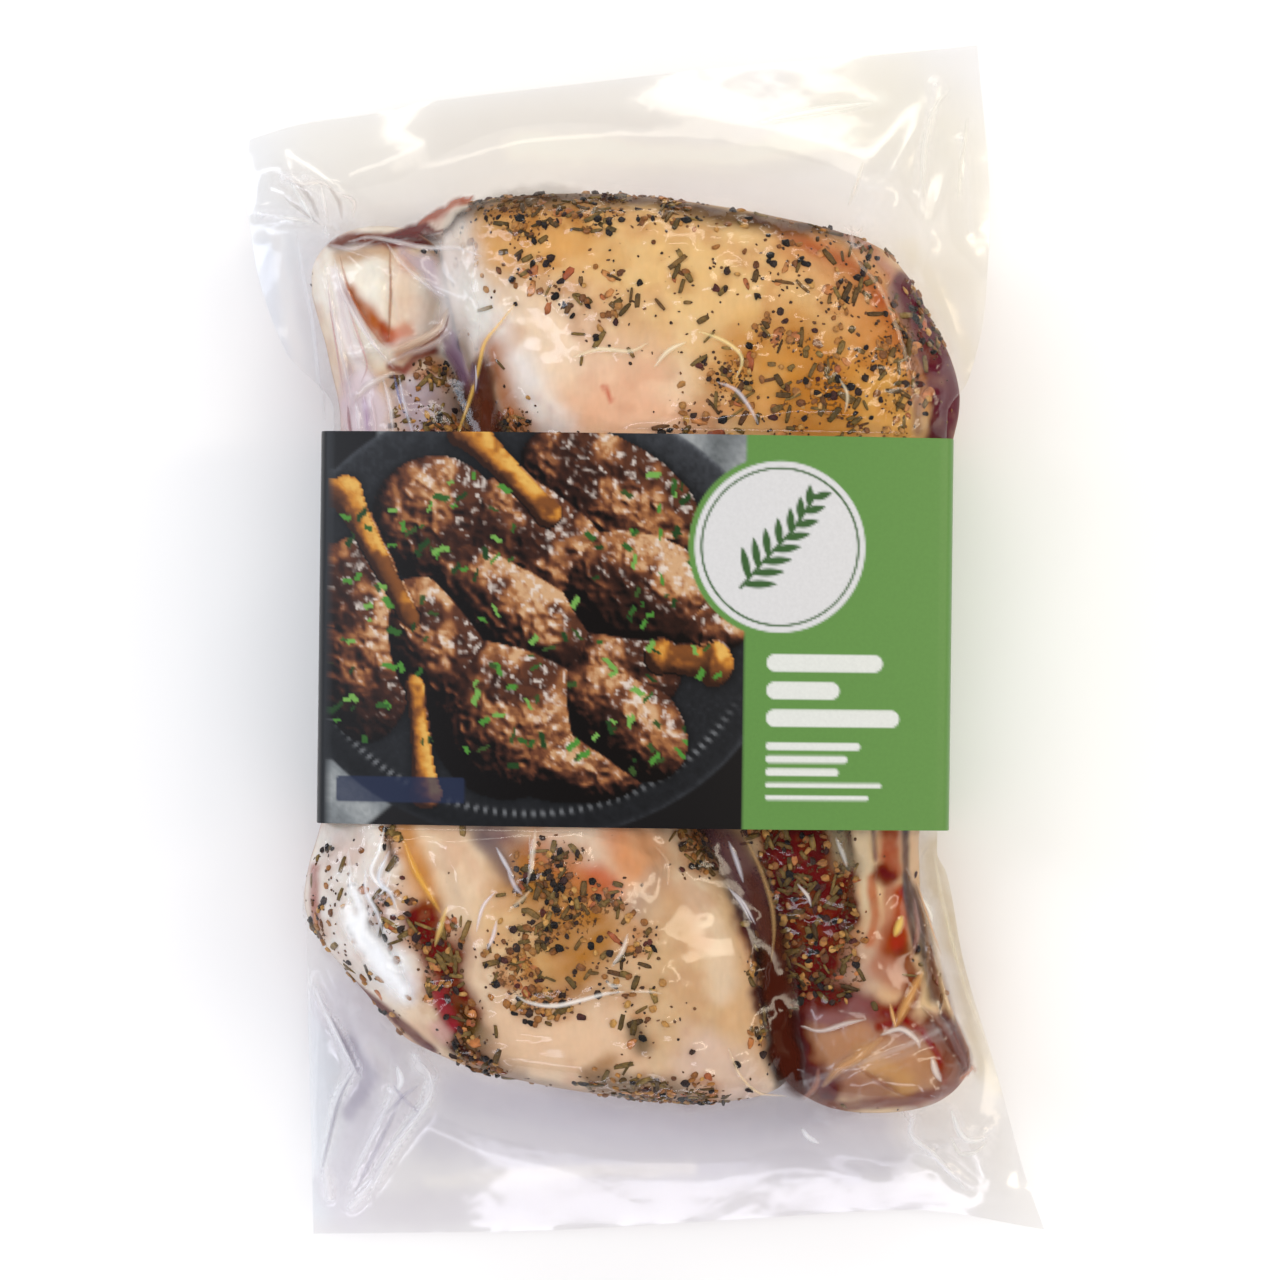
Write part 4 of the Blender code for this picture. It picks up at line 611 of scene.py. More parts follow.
BACK_FIELDS = (
    ((-26.0, 0.0), (60.0, 70.0), 3.0, "#F1F1EC"), ((-26.0, 26.0), (48.0, 5.0), 2.4, "#6AA04A"),
    *(((-26.0, level), (48.0, 1.4), 0.7, "#9AA39A") for level in (17.0, 12.0, 7.0, 2.0, -3.0, -8.0, -13.0)),
    ((44.0, -18.0), (26.0, 22.0), 1.5, "#F6F6F4"),
)

# The studio, in metres
FLOOR_LEVEL, FLOOR_HALF = -0.3 * MM, 2  # just under the printed back of the sleeve
WORLD_COLOUR, WORLD_STRENGTH = "#F4F5F8", 0.55
SOFT_BOXES = {  # place, size, watts, colour, whether the gloss mirrors it
    "left_box": ((-1.00, 0.25, 0.85), (0.25, 1.2), 5.4, "#EAF1FF", True),
    "right_box": ((1.00, 0.15, 0.80), (0.2, 1.1), 5.0, "#FFF0D8", True),
    "back_box": ((0.05, 1.10, 0.95), (1.2, 0.22), 4.6, "#FFF9EE", True),
    "front_box": ((0.0, -1.15, 0.80), (1.1, 0.2), 3.8, "#F1F0FA", True),
    "polarised_ceiling": ((0.0, 0.0, 1.35), (1.3, 1.3), 4.0, "#FFFDFA", False),
}
BOXES_FACE = (0.0, 0.0, 0.03)
CAMERA_PLACE, CAMERA_LENS, CAMERA_SENSOR = (-0.00108, -0.00024, 1.2), 139.2, 36.0


def through(knots, values, at):
    """A smooth curve through the knots that never swings past them, read at the places `at`."""
    knots, values = np.asarray(knots, float), np.asarray(values, float)
    at = np.clip(np.asarray(at, float), knots[0], knots[-1])
    steps = np.diff(knots)
    slopes = np.diff(values) / steps
    before, after = slopes[:-1], slopes[1:]
    same_way = before * after > 0
    spread = np.where(same_way, np.abs(before) + np.abs(after), 1.0)
    middle = np.where(same_way, 2 * before * after / spread * np.sign(after), 0.0)
    tangents = np.concatenate([slopes[:1], middle, slopes[-1:]])
    index = np.clip(np.searchsorted(knots, at, side="right") - 1, 0, len(steps) - 1)
    t = (at - knots[index]) / steps[index]
    start, end = values[index], values[index + 1]
    pull_start, pull_end = tangents[index] * steps[index], tangents[index + 1] * steps[index]
    return (
        start * (2 * t**3 - 3 * t**2 + 1) + pull_start * (t**3 - 2 * t**2 + t)
        + end * (3 * t**2 - 2 * t**3) + pull_end * (t**3 - t**2)
    )


def ramp(value, low, high):
    """0 below low, 1 above high, and smooth between them."""
    t = np.clip((value - low) / (high - low), 0.0, 1.0)
    return t * t * (3 - 2 * t)


def bell(away, half):
    """1 on a line, and falling softly to either side of it."""
    return np.exp(-((away / half) ** 2))


def cloud(x, y, size, seed, octaves=3):
    """Soft random values from 0 to 1 over the plane, in lumps of this size, each octave half as large."""
    total, weight = np.zeros(np.shape(x)), 0.0
    for octave in range(octaves):
        lattice = np.random.default_rng(seed * SEED_STRIDE + octave).random((LATTICE, LATTICE))
        u, v = (place / size * 2**octave + shift * seed for place, shift in zip((x, y), SEED_SHIFT))
        i, j = np.floor(u).astype(int), np.floor(v).astype(int)
        fu, fv = u - i, v - j
        fu, fv = fu * fu * (3 - 2 * fu), fv * fv * (3 - 2 * fv)
        i0, i1, j0, j1 = i % LATTICE, (i + 1) % LATTICE, j % LATTICE, (j + 1) % LATTICE
        low = lattice[i0, j0] * (1 - fu) + lattice[i1, j0] * fu
        high = lattice[i0, j1] * (1 - fu) + lattice[i1, j1] * fu
        total += (low * (1 - fv) + high * fv) * 0.5**octave
        weight += 0.5**octave
    return total / weight


def ridged(x, y, size, seed):
    """Sharp ridges between soft hollows, from 0 to 1."""
    return 1 - np.abs(2 * cloud(x, y, size, seed, 2) - 1)


def along_line(x, y, line):
    """The distance from a line, and the share of the line's length at the nearest place."""
    points = np.reshape(np.asarray(line, float), (-1, 2))
    lengths = np.hypot(*np.diff(points, axis=0).T)
    nearest, share, before = np.full(np.shape(x), 1e9), np.zeros(np.shape(x)), 0.0
    for start, end, length in zip(points, points[1:], lengths):
        dx, dy = end - start
        t = np.clip(((x - start[0]) * dx + (y - start[1]) * dy) / length**2, 0, 1)
        away = np.hypot(x - start[0] - t * dx, y - start[1] - t * dy)
        closer = away < nearest
        nearest = np.where(closer, away, nearest)
        share = np.where(closer, (before + t * length) / lengths.sum(), share)
        before += length
    return nearest, share


def on_line(x, y, half, soft, line):
    """1 on a line of this half width, 0 away from it, with soft edges."""
    return 1 - ramp(along_line(x, y, line)[0], half - soft, half + soft)


def linear(colour):
    """An sRGB hex colour as linear red, green and blue."""
    values = np.array([int(colour[k : k + 2], 16) / 255 for k in (1, 3, 5)])
    return np.where(values <= 0.04045, values / 12.92, ((values + 0.055) / 1.055) ** 2.4)


def rgba(colour):
    return (*linear(colour), 1.0)


def plain(like, colour):
    """One colour at each place of a field."""
    return np.tile(linear(colour), (*like.shape, 1))


def laid(colour, share, over):
    """The colour with this share of another one laid over it."""
    over = linear(over) if isinstance(over, str) else over
    return colour + share[..., None] * (over - colour)


def shaded(light, names):
    """A scale of colours read at each place's light, from 0 to 1."""
    stops = np.linspace(0, 1, len(names))
    scale = np.array([linear(name) for name in names])
    light = np.clip(light, 0, 1)
    return np.stack([np.interp(light, stops, scale[:, k]) for k in range(3)], axis=-1)


def turned(across, along, centre, degrees):
    """Places in a frame that has this centre and turn."""
    du, dv = across - centre[0], along - centre[1]
    c, s = math.cos(math.radians(degrees)), math.sin(math.radians(degrees))
    return du * c + dv * s, dv * c - du * s


def sleeve_frame(x, y):
    """Places across and along the sleeve, from its own middle."""
    return turned(x, y, SLEEVE_CENTRE, SLEEVE_TURN)


def out_of_sleeve(across, along):
    """Places in the sleeve's own frame as places of the pack."""
    c, s = math.cos(math.radians(SLEEVE_TURN)), math.sin(math.radians(SLEEVE_TURN))
    return SLEEVE_CENTRE[0] + across * c - along * s, SLEEVE_CENTRE[1] + across * s + along * c


def side_edge(corner_top, shoulder, side, hip, corner_bottom):
    """One side edge of the pouch as (heights, places across), going up, drawn in by the sleeve."""
    inside = SLEEVE_WIDTH / 2 - CARD - SLEEVE_GAP
    reach = SLEEVE_LENGTH / 2 + HOLD_MARGIN
    waist = [out_of_sleeve(side * inside, along) for along in (reach, 0.0, -reach)]
    points = sorted([corner_top, *shoulder, *waist, *hip, corner_bottom], key=lambda point: point[1])
    return [y for _, y in points], [x for x, _ in points]


def pouch_plan(columns, rows):
    """The pouch's grid in plan, x and y, between its four edges."""
    u, v = np.linspace(0, 1, columns + 1)[:, None], np.linspace(0, 1, rows + 1)[None, :]
    left_y = BOTTOM_LEFT[1] + (TOP_LEFT[1] - BOTTOM_LEFT[1]) * v
    right_y = BOTTOM_RIGHT[1] + (TOP_RIGHT[1] - BOTTOM_RIGHT[1]) * v
    left_x = through(*side_edge(TOP_LEFT, SHOULDER_LEFT, -1, HIP_LEFT, BOTTOM_LEFT), left_y)
    right_x = through(*side_edge(TOP_RIGHT, SHOULDER_RIGHT, 1, HIP_RIGHT, BOTTOM_RIGHT), right_y)
    bottom_x = BOTTOM_LEFT[0] + (BOTTOM_RIGHT[0] - BOTTOM_LEFT[0]) * u
    top_x = TOP_LEFT[0] + (TOP_RIGHT[0] - TOP_LEFT[0]) * u
    bottom_y, top_y = through(*zip(*BOTTOM_EDGE), bottom_x), through(*zip(*TOP_EDGE), top_x)

    def patch(left, right, bottom, top, axis):
        corners = (
            (1 - u) * (1 - v) * BOTTOM_LEFT[axis] + u * (1 - v) * BOTTOM_RIGHT[axis]
            + (1 - u) * v * TOP_LEFT[axis] + u * v * TOP_RIGHT[axis]
        )
        return (1 - u) * left + u * right + (1 - v) * bottom + v * top - corners

    return patch(left_x, right_x, bottom_x, top_x, 0), patch(left_y, right_y, bottom_y, top_y, 1)


def under_front(x, y):
    """The level under the sleeve's front panel, which rises steeply beyond the sleeve's two ends."""
    across, along = sleeve_frame(x, y)
    bow = SLEEVE_CROWN * (1 - (across / (SLEEVE_WIDTH / 2)) ** 2)
    beyond = np.maximum(np.abs(along) - SLEEVE_LENGTH / 2 - SLEEVE_OVERHANG, 0.0)
    return SLEEVE_EDGE_HEIGHT + bow - CARD - SLEEVE_GAP + beyond * RISE_BEYOND


def over_back(x, y):
    """The level over the sleeve's back panel, and the ground elsewhere."""
    _, along = sleeve_frame(x, y)
    held = 1 - ramp(np.abs(along) - SLEEVE_LENGTH / 2, SLEEVE_OVERHANG, SLEEVE_OVERHANG + HOLD_MARGIN)
    return held * (2 * CARD + SLEEVE_GAP)


def relief(x, y, seams, seed):
    """How far the meat swells or sinks, up and down its normal."""
    rise = SWELL * (cloud(x, y, SWELL_SIZE, seed, 2) - 0.5)
    rise = rise + LUMP * (cloud(x, y, LUMP_SIZE, seed + 1, 2) - 0.5)
    drift = SEAM_DRIFT * (cloud(x, y, LUMP_SIZE, seed + 2, 2) - 0.5)
    for depth, half, *line in seams.values():
        away, share = along_line(x + drift, y + drift, line)
        rise -= depth * bell(away, half) * np.sin(np.pi * np.clip(share * 0.9 + 0.08, 0, 1)) ** 0.5
    return rise


def shank_points(shank, seams, seed):
    """A shank as rings of points: superellipse sections along a bent, swelling limb, with its relief."""
    shares, centres, halves, heights = zip(*shank["stations"])
    knuckle_y, sawn_y = shank["knuckle_y"], shank["sawn_y"]
    length = abs(sawn_y - knuckle_y)
    even = np.linspace(0, 1, SHANK_RINGS)
    share = EVEN_RINGS * even + (1 - EVEN_RINGS) * (1 - np.cos(np.pi * even)) / 2
    centre, half, height = (through(shares, values, share)[:, None] for values in (centres, halves, heights))
    kept = np.ones_like(share)
    for from_end, radius in ((share * length, KNUCKLE_ROUNDING), ((1 - share) * length, SAWN_ROUNDING)):
        kept *= np.sqrt(1 - (1 - np.clip(from_end / radius, 0.0, 1.0)) ** 2)
    kept = np.maximum(kept, END_SECTION)[:, None]
    sawn = np.clip((share - SLANT_FROM) / (1 - SLANT_FROM), 0.0, 1.0)[:, None]
    upper = np.linspace(0, np.pi, UPPER_SIDES, endpoint=False)
    lower = np.linspace(np.pi, 2 * np.pi, LOWER_SIDES, endpoint=False)
    angle = np.concatenate([upper, lower])[None, :]
    round_parts = np.cos(angle), np.sin(angle)
    across, up = (np.sign(part) * np.abs(part) ** (2 / SECTION_POWER) for part in round_parts)
    widest = WIDEST_SHARE * height
    reach = np.where(up > 0, height - widest, widest + PRESSED_FLAT)
    x = centre + half * kept * across
    y = np.broadcast_to((knuckle_y + (sawn_y - knuckle_y) * share)[:, None], x.shape)
    y = y + shank["slant"] * sawn * (x - centre)
    points = np.stack([x, y, widest + reach * kept * up], axis=-1)
    normals = ring_normals(points)
    rise = relief(x, y, seams, seed) * np.clip(kept * 2 - 0.4, 0, 1)
    shows, least = SIDE_RELIEF
    points = points + normals * (rise * np.clip(shows + normals[..., 2], least, 1))[..., None]
    points[..., 2] = np.minimum(points[..., 2], under_front(points[..., 0], points[..., 1]) - MEAT_CLEAR)
    points[..., 2] = np.maximum(points[..., 2], over_back(points[..., 0], points[..., 1]) + MEAT_CLEAR)
    return points


def ring_normals(points):
    """Outward unit normals of a tube of rings."""
    along = np.gradient(points, axis=0)
    around = np.roll(points, -1, axis=1) - np.roll(points, 1, axis=1)
    normals = np.cross(around, along)
    normals /= np.maximum(np.linalg.norm(normals, axis=-1, keepdims=True), 1e-9)
    middle = points.mean(axis=1, keepdims=True)
    return normals * np.sign(((points - middle) * normals).sum(axis=-1).mean())


def tube_faces(rings, sides, backwards):
    """Quads between the rings and a face on each end, all facing out: backwards where the rings run up +Y."""
    ring, side = np.meshgrid(np.arange(rings - 1), np.arange(sides), indexing="ij")
    low, after = ring * sides, (side + 1) % sides
    quads = np.stack([low + side, low + after, low + sides + after, low + sides + side], axis=-1)
    ends = [list(range(sides))[::-1], list(range((rings - 1) * sides, rings * sides))]
    faces = quads.reshape(-1, 4).tolist() + ends
    return [face[::-1] for face in faces] if backwards else faces


def grid_faces(columns, rows):
    """Quads over a grid of points, first index across and second along."""
    i, j = np.meshgrid(np.arange(columns - 1), np.arange(rows - 1), indexing="ij")
    low = i * rows + j
    return np.stack([low, low + rows, low + rows + 1, low + 1], axis=-1).reshape(-1, 4).tolist()


def solid(name, points, faces, material, colours, tints=None, smooth=True):
    """A mesh of these points in millimetres, with its paint at each point, linked and riding on the pack."""
    shape = bpy.data.meshes.new(name)
    shape.from_pydata((points.reshape(-1, 3) * MM).tolist(), [], faces)
    for layer, values in (("paint", colours), ("tint", tints)):
        if values is not None:
            flat = np.ones((len(shape.vertices), 4), np.float32)
            flat[:, : values.shape[-1]] = values.reshape(-1, values.shape[-1])
            shape.color_attributes.new(layer, "FLOAT_COLOR", "POINT").data.foreach_set("color", flat.ravel())
    shape.materials.append(material)
    if smooth:
        shape.shade_smooth()
    piece = bpy.data.objects.new(name, shape)
    bpy.context.scene.collection.objects.link(piece)
    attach(piece, "root")
    return piece


def tree_of(points, faces):
    return BVHTree.FromPolygons([tuple(point) for point in points.reshape(-1, 3).tolist()], faces)


def heights_over(x, y, bodies):
    """The contents' highest and lowest level at each place of the grid, NaN where there are none."""
    up, down = Vector((0, 0, 1)), Vector((0, 0, -1))
    top, bottom = np.full(x.shape, np.nan), np.full(x.shape, np.nan)
    for index in np.ndindex(x.shape):
        for body in bodies:
            upper = body.ray_cast(Vector((x[index], y[index], ABOVE_ALL)), down)[0]
            if upper is not None:
                lower = body.ray_cast(Vector((x[index], y[index], -ABOVE_ALL)), up)[0]
                top[index] = np.nanmax([top[index], upper.z])
                bottom[index] = np.nanmin([bottom[index], lower.z])
    return top, bottom


def spread_out(field):
    """Each inner place's mean over its four neighbours."""
    mean = field.copy()
    mean[1:-1, 1:-1] = (field[:-2, 1:-1] + field[2:, 1:-1] + field[1:-1, :-2] + field[1:-1, 2:]) / 4
    return mean


def beside(field, pick):
    """Each inner place's highest or lowest level among itself and its neighbours."""
    made = field.copy()
    columns, rows = field.shape
    for i, j in ((0, 1), (1, 0), (1, 2), (2, 1)):
        made[1:-1, 1:-1] = pick(made[1:-1, 1:-1], field[i : columns - 2 + i, j : rows - 2 + j])
    return made


def finer(field):
    """The field on a grid with one more place between each two."""
    made = np.empty((2 * field.shape[0] - 1, 2 * field.shape[1] - 1))
    made[::2, ::2] = field
    made[1::2, ::2] = (field[:-1] + field[1:]) / 2
    made[:, 1::2] = (made[:, :-2:2] + made[:, 2::2]) / 2
    return made


def within(shape):
    """True on all places of a grid but its rim."""
    return np.pad(np.ones((shape[0] - 2, shape[1] - 2), bool), 1)


def rim_height(x, y):
    """The pouch's edge waves a little above the ground, and is lifted inside the sleeve."""
    wave = np.zeros_like(x)
    for place, (height, run, start) in zip((x, y), RIM_WAVES):
        wave += height * np.sin(place / run + start)
    _, along = sleeve_frame(x, y)
    lift = ramp(RIM_LIFTS_FROM - np.abs(along) / (SLEEVE_LENGTH / 2), 0.0, 1.0)
    return (RIM_HEIGHT + wave) * (1 - lift) + RIM_IN_SLEEVE * lift


def relaxed(x, y, top, bottom):
    """The front and back film on the finest grid, drawn onto the meat by the vacuum, coarse grid first."""
    length = TOP_RIGHT[1] - BOTTOM_RIGHT[1]
    for level, steps in enumerate(RELAX_STEPS):
        skip = 2 ** (len(RELAX_STEPS) - 1 - level)
        here_x, here_y, here_top, here_bottom = (field[::skip, ::skip] for field in (x, y, top, bottom))
        inner = within(here_x.shape)
        if level == 0:
            full = ~np.isnan(here_top)
            middle = np.where(full, (here_top + here_bottom) * PLIES_MEET, rim_height(here_x, here_y))
            for _ in range(steps):
                middle = np.where(inner & ~full, spread_out(middle), middle)
        else:
            middle, front, back = finer(middle), finer(front), finer(back)
        lowest = np.maximum(np.nan_to_num(here_top), middle + PLY_PAIR / 2)
        highest = np.minimum(np.nan_to_num(here_bottom, nan=ABOVE_ALL), middle - PLY_PAIR / 2)
        if level == 0:
            front, back = lowest, highest
        pull = (length * skip / (x.shape[1] - 1)) ** 2 / (4 * FILM_BEND_RADIUS)
        for _ in range(steps):
            front = np.where(inner, np.maximum(spread_out(front) - pull, lowest), front)
            back = np.where(inner, np.minimum(spread_out(back) + pull, highest), back)
    return front, back


def fold_field(x, y):
    """How far the folds stand up, and how far they whiten the film."""
    rise, white = np.zeros_like(x), np.zeros_like(x)
    for half, height, left_over, whitening, *line in FOLDS.values():
        away, share = along_line(x, y, line)
        ridge = (1 + (left_over - 1) * share) * bell(away, half)
        rise = np.maximum(rise, height * ridge)
        white = np.maximum(white, whitening * ridge)
    return rise, white


def crumple_field(x, y):
    """Facets with sharp ridges between them, where the film has nothing to lie on."""
    rise = np.zeros_like(x)
    for number, (height, facet, half, soft, *line) in enumerate(CRUMPLES.values()):
        facets = ridged(x, y, facet, CRUMPLE_SEED + number) ** 2 - 0.5
        rise += height * facets * on_line(x, y, half, soft, line)
    return rise + WRINKLE * (ridged(x, y, WRINKLE_SIZE, WRINKLE_SEED) ** 2 - 0.5)


def film_shape(x, y, top, bottom):
    """The front and back film with their folds, how white the folds are, and how sharply the film bends."""
    front, back = relaxed(x, y, top, bottom)
    folds, white = fold_field(x, y)
    rise = (folds + crumple_field(x, y)) * within(x.shape)
    apart = ramp(front - back, *PLIES_APART)
    back = back + rise * (1 - apart)
    front = np.maximum(front + rise, np.nan_to_num(top) + FILM_CLEAR)
    front = np.minimum(front, under_front(x, y))
    back = np.maximum(back - SETTLED, over_back(x, y))
    front = np.maximum(front, back + PLY_PAIR)
    return front, back, white, np.abs(spread_out(rise) - rise)


def painted(x, y, ground, zones, seed):
    """The colour at each place: each zone laid over the last, with edges that wander."""
    colour = plain(x, ground)
    drift_x = EDGE_DRIFT * (cloud(x, y, EDGE_SIZE, seed) - 0.5)
    drift_y = EDGE_DRIFT * (cloud(x, y, EDGE_SIZE, seed + 1) - 0.5)
    mottle = MOTTLE[0] + MOTTLE[1] * cloud(x, y, MOTTLE_SIZE, seed + 2)
    for tone, half, soft, share, *line in zones.values():
        wander = min(1.0, half / FULL_DRIFT_FROM)
        over = share * on_line(x + drift_x * wander, y + drift_y * wander, half, soft, line) * mottle
        colour = laid(colour, np.clip(over, 0, 1), tone)
    return colour


def blushed(x, y, colour, seed):
    """Fat is never even: pink and brown show through its thin places."""
    thin = ramp(cloud(x, y, BLUSH_SIZE, seed, 4), 0.50, 0.72) * ramp(colour.mean(axis=-1), 0.2, 0.6)
    return laid(colour, BLUSH_SHARE * thin, BLUSH)


def underside(points, normals, colour, seed):
    """On its steep sides and below them a shank is plain meat and fat in the usual patches."""
    along, across = points[..., 1] + UNDER_SLANT * points[..., 2], points[..., 0] - points[..., 2]
    lean = ramp(cloud(across, along, UNDER_SIZE, seed, 4), *UNDER_SPLIT)
    bare = laid(linear(UNDER_FAT), lean, UNDER_LEAN)
    return laid(colour, ramp(-normals[..., 2], *UNDER_FROM), bare)


def oiled(x, y, colour, dust, seed):
    """Spice oil has spread from the seasoning into the fat round it."""
    oil = STAIN_SHARE * dust * ramp(cloud(x, y, STAIN_SIZE, seed), 0.3, 0.6)
    return laid(colour, oil * ramp(colour.mean(axis=-1), 0.1, 0.5), SPICE_STAIN)


def seasoned(x, y):
    """How thickly the seasoning lies, from 0 to 1."""
    thick = np.full(np.shape(x), BARE_SEASONING)
    for share, half, soft, *line in SEASONED.values():
        thick = np.maximum(thick, share * on_line(x, y, half, soft, line))
    for half, soft, *line in BARE.values():
        away, _ = along_line(x, y, line)
        thick = thick * ramp(away, half - soft, half + soft)
    clumps = ramp(cloud(x, y, CLUMP_SIZE, CLUMP_SEED, 2), *CLUMP_EDGE)
    return np.clip(thick * (UNCLUMPED + (1 - UNCLUMPED) * clumps), 0, 1)


def film_paint(x, y, full, white, bend):
    """The film's smears, painted glare and painted shade as colour, and how much of what is under it each of
    them hides.
    """
    layers = []
    drift = MARK_DRIFT * (cloud(x, y, MARK_DRIFT_SIZE, MARK_SEED, 2) - 0.5)
    for tone, half, soft, share, *line in FILM_MARKS.values():
        away, run = along_line(x + drift, y - drift, line)
        wide = half * np.sin(np.pi * np.clip(run, 0.06, 0.94)) ** 0.4
        layers.append((tone, share * (1 - ramp(away, wide - soft, wide + soft))))
    darkened = np.max([share * (1 - linear(tone).mean()) for tone, share in layers], axis=0)
    creased = np.clip(FOLD_WHITENS * white + bend * BEND_WHITENS, 0, WHITEST)
    layers.append((CREASE_WHITE, creased * (1 - ramp(darkened, 0, 0.5))))
    colour, hides = plain(x, FILM_HAZE), np.where(full > 0.5, HAZE_OVER_MEAT, HAZE_ON_SKIRTS)
    for tone, over in layers:
        both = over + hides * (1 - over)
        colour, hides = laid(colour, over / both, tone), both
    return np.dstack([colour, hides])


def film_tint(x, y, full):
    """The colour that the film gives to light: hardly any over the meat, and the skirts' tones beside it,
    painted highlight streaks and painted light and shade on the ear's facets among them.
    """
    tone = painted(x, y, SKIRT_GROUND, SKIRTS, SKIRT_SEED)
    passed = np.clip(tone / FLOOR_GIVES, 0, 1) ** (1 / FILM_PASSES)
    return laid(passed, full, FILM_OVER_MEAT)


def smooth_line(line, step):
    """Points a step apart along a smooth curve through the line's points."""
    line = np.reshape(np.asarray(line, float), (-1, 2))
    run = np.concatenate([[0.0], np.cumsum(np.hypot(*np.diff(line, axis=0).T))])
    padded = np.concatenate([2 * line[:1] - line[1:2], line, 2 * line[-1:] - line[-2:-1]])
    places = []
    for at in np.linspace(0, run[-1], max(int(run[-1] / step), 6)):
        k = min(np.searchsorted(run, at, side="right") - 1, len(line) - 2)
        t = (at - run[k]) / (run[k + 1] - run[k])
        a, b, c, d = padded[k : k + 4]
        second, third = 2 * a - 5 * b + 4 * c - d, 3 * b - a - 3 * c + d
        places.append(0.5 * (2 * b + (c - a) * t + second * t**2 + third * t**3))
    return np.array(places)


def pinched_folds(film):
    """Thin doubled folds that stand up from the film, each a tapered ridge with its painted glint or shade:
    points, faces, paint.
    """
    points, faces, paint = [], [], []
    down = Vector((0, 0, -1))
    for tone, half, height, hides, *line in PINCHES:
        middle = smooth_line(line, PINCH_STEP)
        way = np.gradient(middle, axis=0)
        side = np.stack([-way[:, 1], way[:, 0]], axis=1) / np.hypot(*way.T)[:, None]
        taper = np.sin(np.pi * np.linspace(0.03, 0.97, len(middle))) ** PINCH_TAPER
        first, rows = sum(map(len, points)), len(middle)
        for offset, rise, shows in PINCH_SECTION:
            places = middle + side * (PINCH_WIDTH * offset * half * taper)[:, None]
            hits = [film.ray_cast(Vector((*place, ABOVE_ALL)), down)[0] for place in places]
            levels = np.array([RIM_HEIGHT if hit is None else hit.z for hit in hits])
            points.append(np.column_stack([places, levels + PINCH_LIFT + rise * height * taper]))
            paint.append(np.column_stack([plain(taper, tone), shows * hides * PINCH_SHOWS * taper]))
        for low in range(first, first + (len(PINCH_SECTION) - 1) * rows):
            if (low - first) % rows < rows - 1:
                faces.append((low + rows, low, low + 1, low + rows + 1))
    return np.concatenate(points), faces, np.concatenate(paint)


def rounded_bar(across, along, centre, size, radius, soft):
    """1 inside a rounded bar, 0 outside it."""
    du = np.abs(across - centre[0]) - size[0] / 2 + radius
    dv = np.abs(along - centre[1]) - size[1] / 2 + radius
    away = np.hypot(np.maximum(du, 0), np.maximum(dv, 0)) + np.minimum(np.maximum(du, dv), 0) - radius
    return 1 - ramp(away, -soft / 2, soft / 2)


def up_to(away, edge, soft=PRINT_STEP):
    """1 short of an edge, 0 past it."""
    return 1 - ramp(away, edge - soft / 2, edge + soft / 2)


def table_top(across, along, grain):
    """The dark table, with folded linen on it and the stoneware plate."""
    colour = shaded(0.25 + 0.5 * (cloud(across, along, TABLE_PLANK, 71, 2) - 0.4), TABLE_TONES)
    for centre, half, turn in LINEN_PATCHES:
        du, dv = turned(across, along, centre, turn)
        folds = 0.5 + 0.5 * np.sin(du / LINEN_FOLD + 3 * cloud(across, along, LINEN_SWAY, 72, 2))
        inside = 1 - ramp(np.maximum(np.abs(du) / half[0], np.abs(dv) / half[1]), 0.86, 1.0)
        colour = laid(colour, inside, shaded(0.25 + 0.5 * folds + 0.3 * (grain - 0.5), LINEN_TONES))
    du, dv = across - PLATE_CENTRE[0], (along - PLATE_CENTRE[1]) / PLATE_TILT
    away = np.hypot(du, dv)
    bearing = np.degrees(np.arctan2(dv, du))
    light = 0.30 + 0.25 * np.cos(np.radians(bearing - 60)) * ramp(away, PLATE_WELL, PLATE_RADIUS)
    light += 0.22 * (grain - 0.5) + 0.25 * bell(away - PLATE_RADIUS, 1.2)
    dashes = ramp(np.sin(np.radians(bearing * DASHES)), -0.2, 0.6) * bell(away - DASH_RADIUS, 0.8)
    dashes = 0.4 * dashes * ramp(DASHES_BELOW - along, 0.0, 12.0)
    plate = laid(shaded(light, PLATE_TONES), dashes, DASH_GREY)
    return laid(colour, up_to(away, PLATE_RADIUS, 0.8), plate)


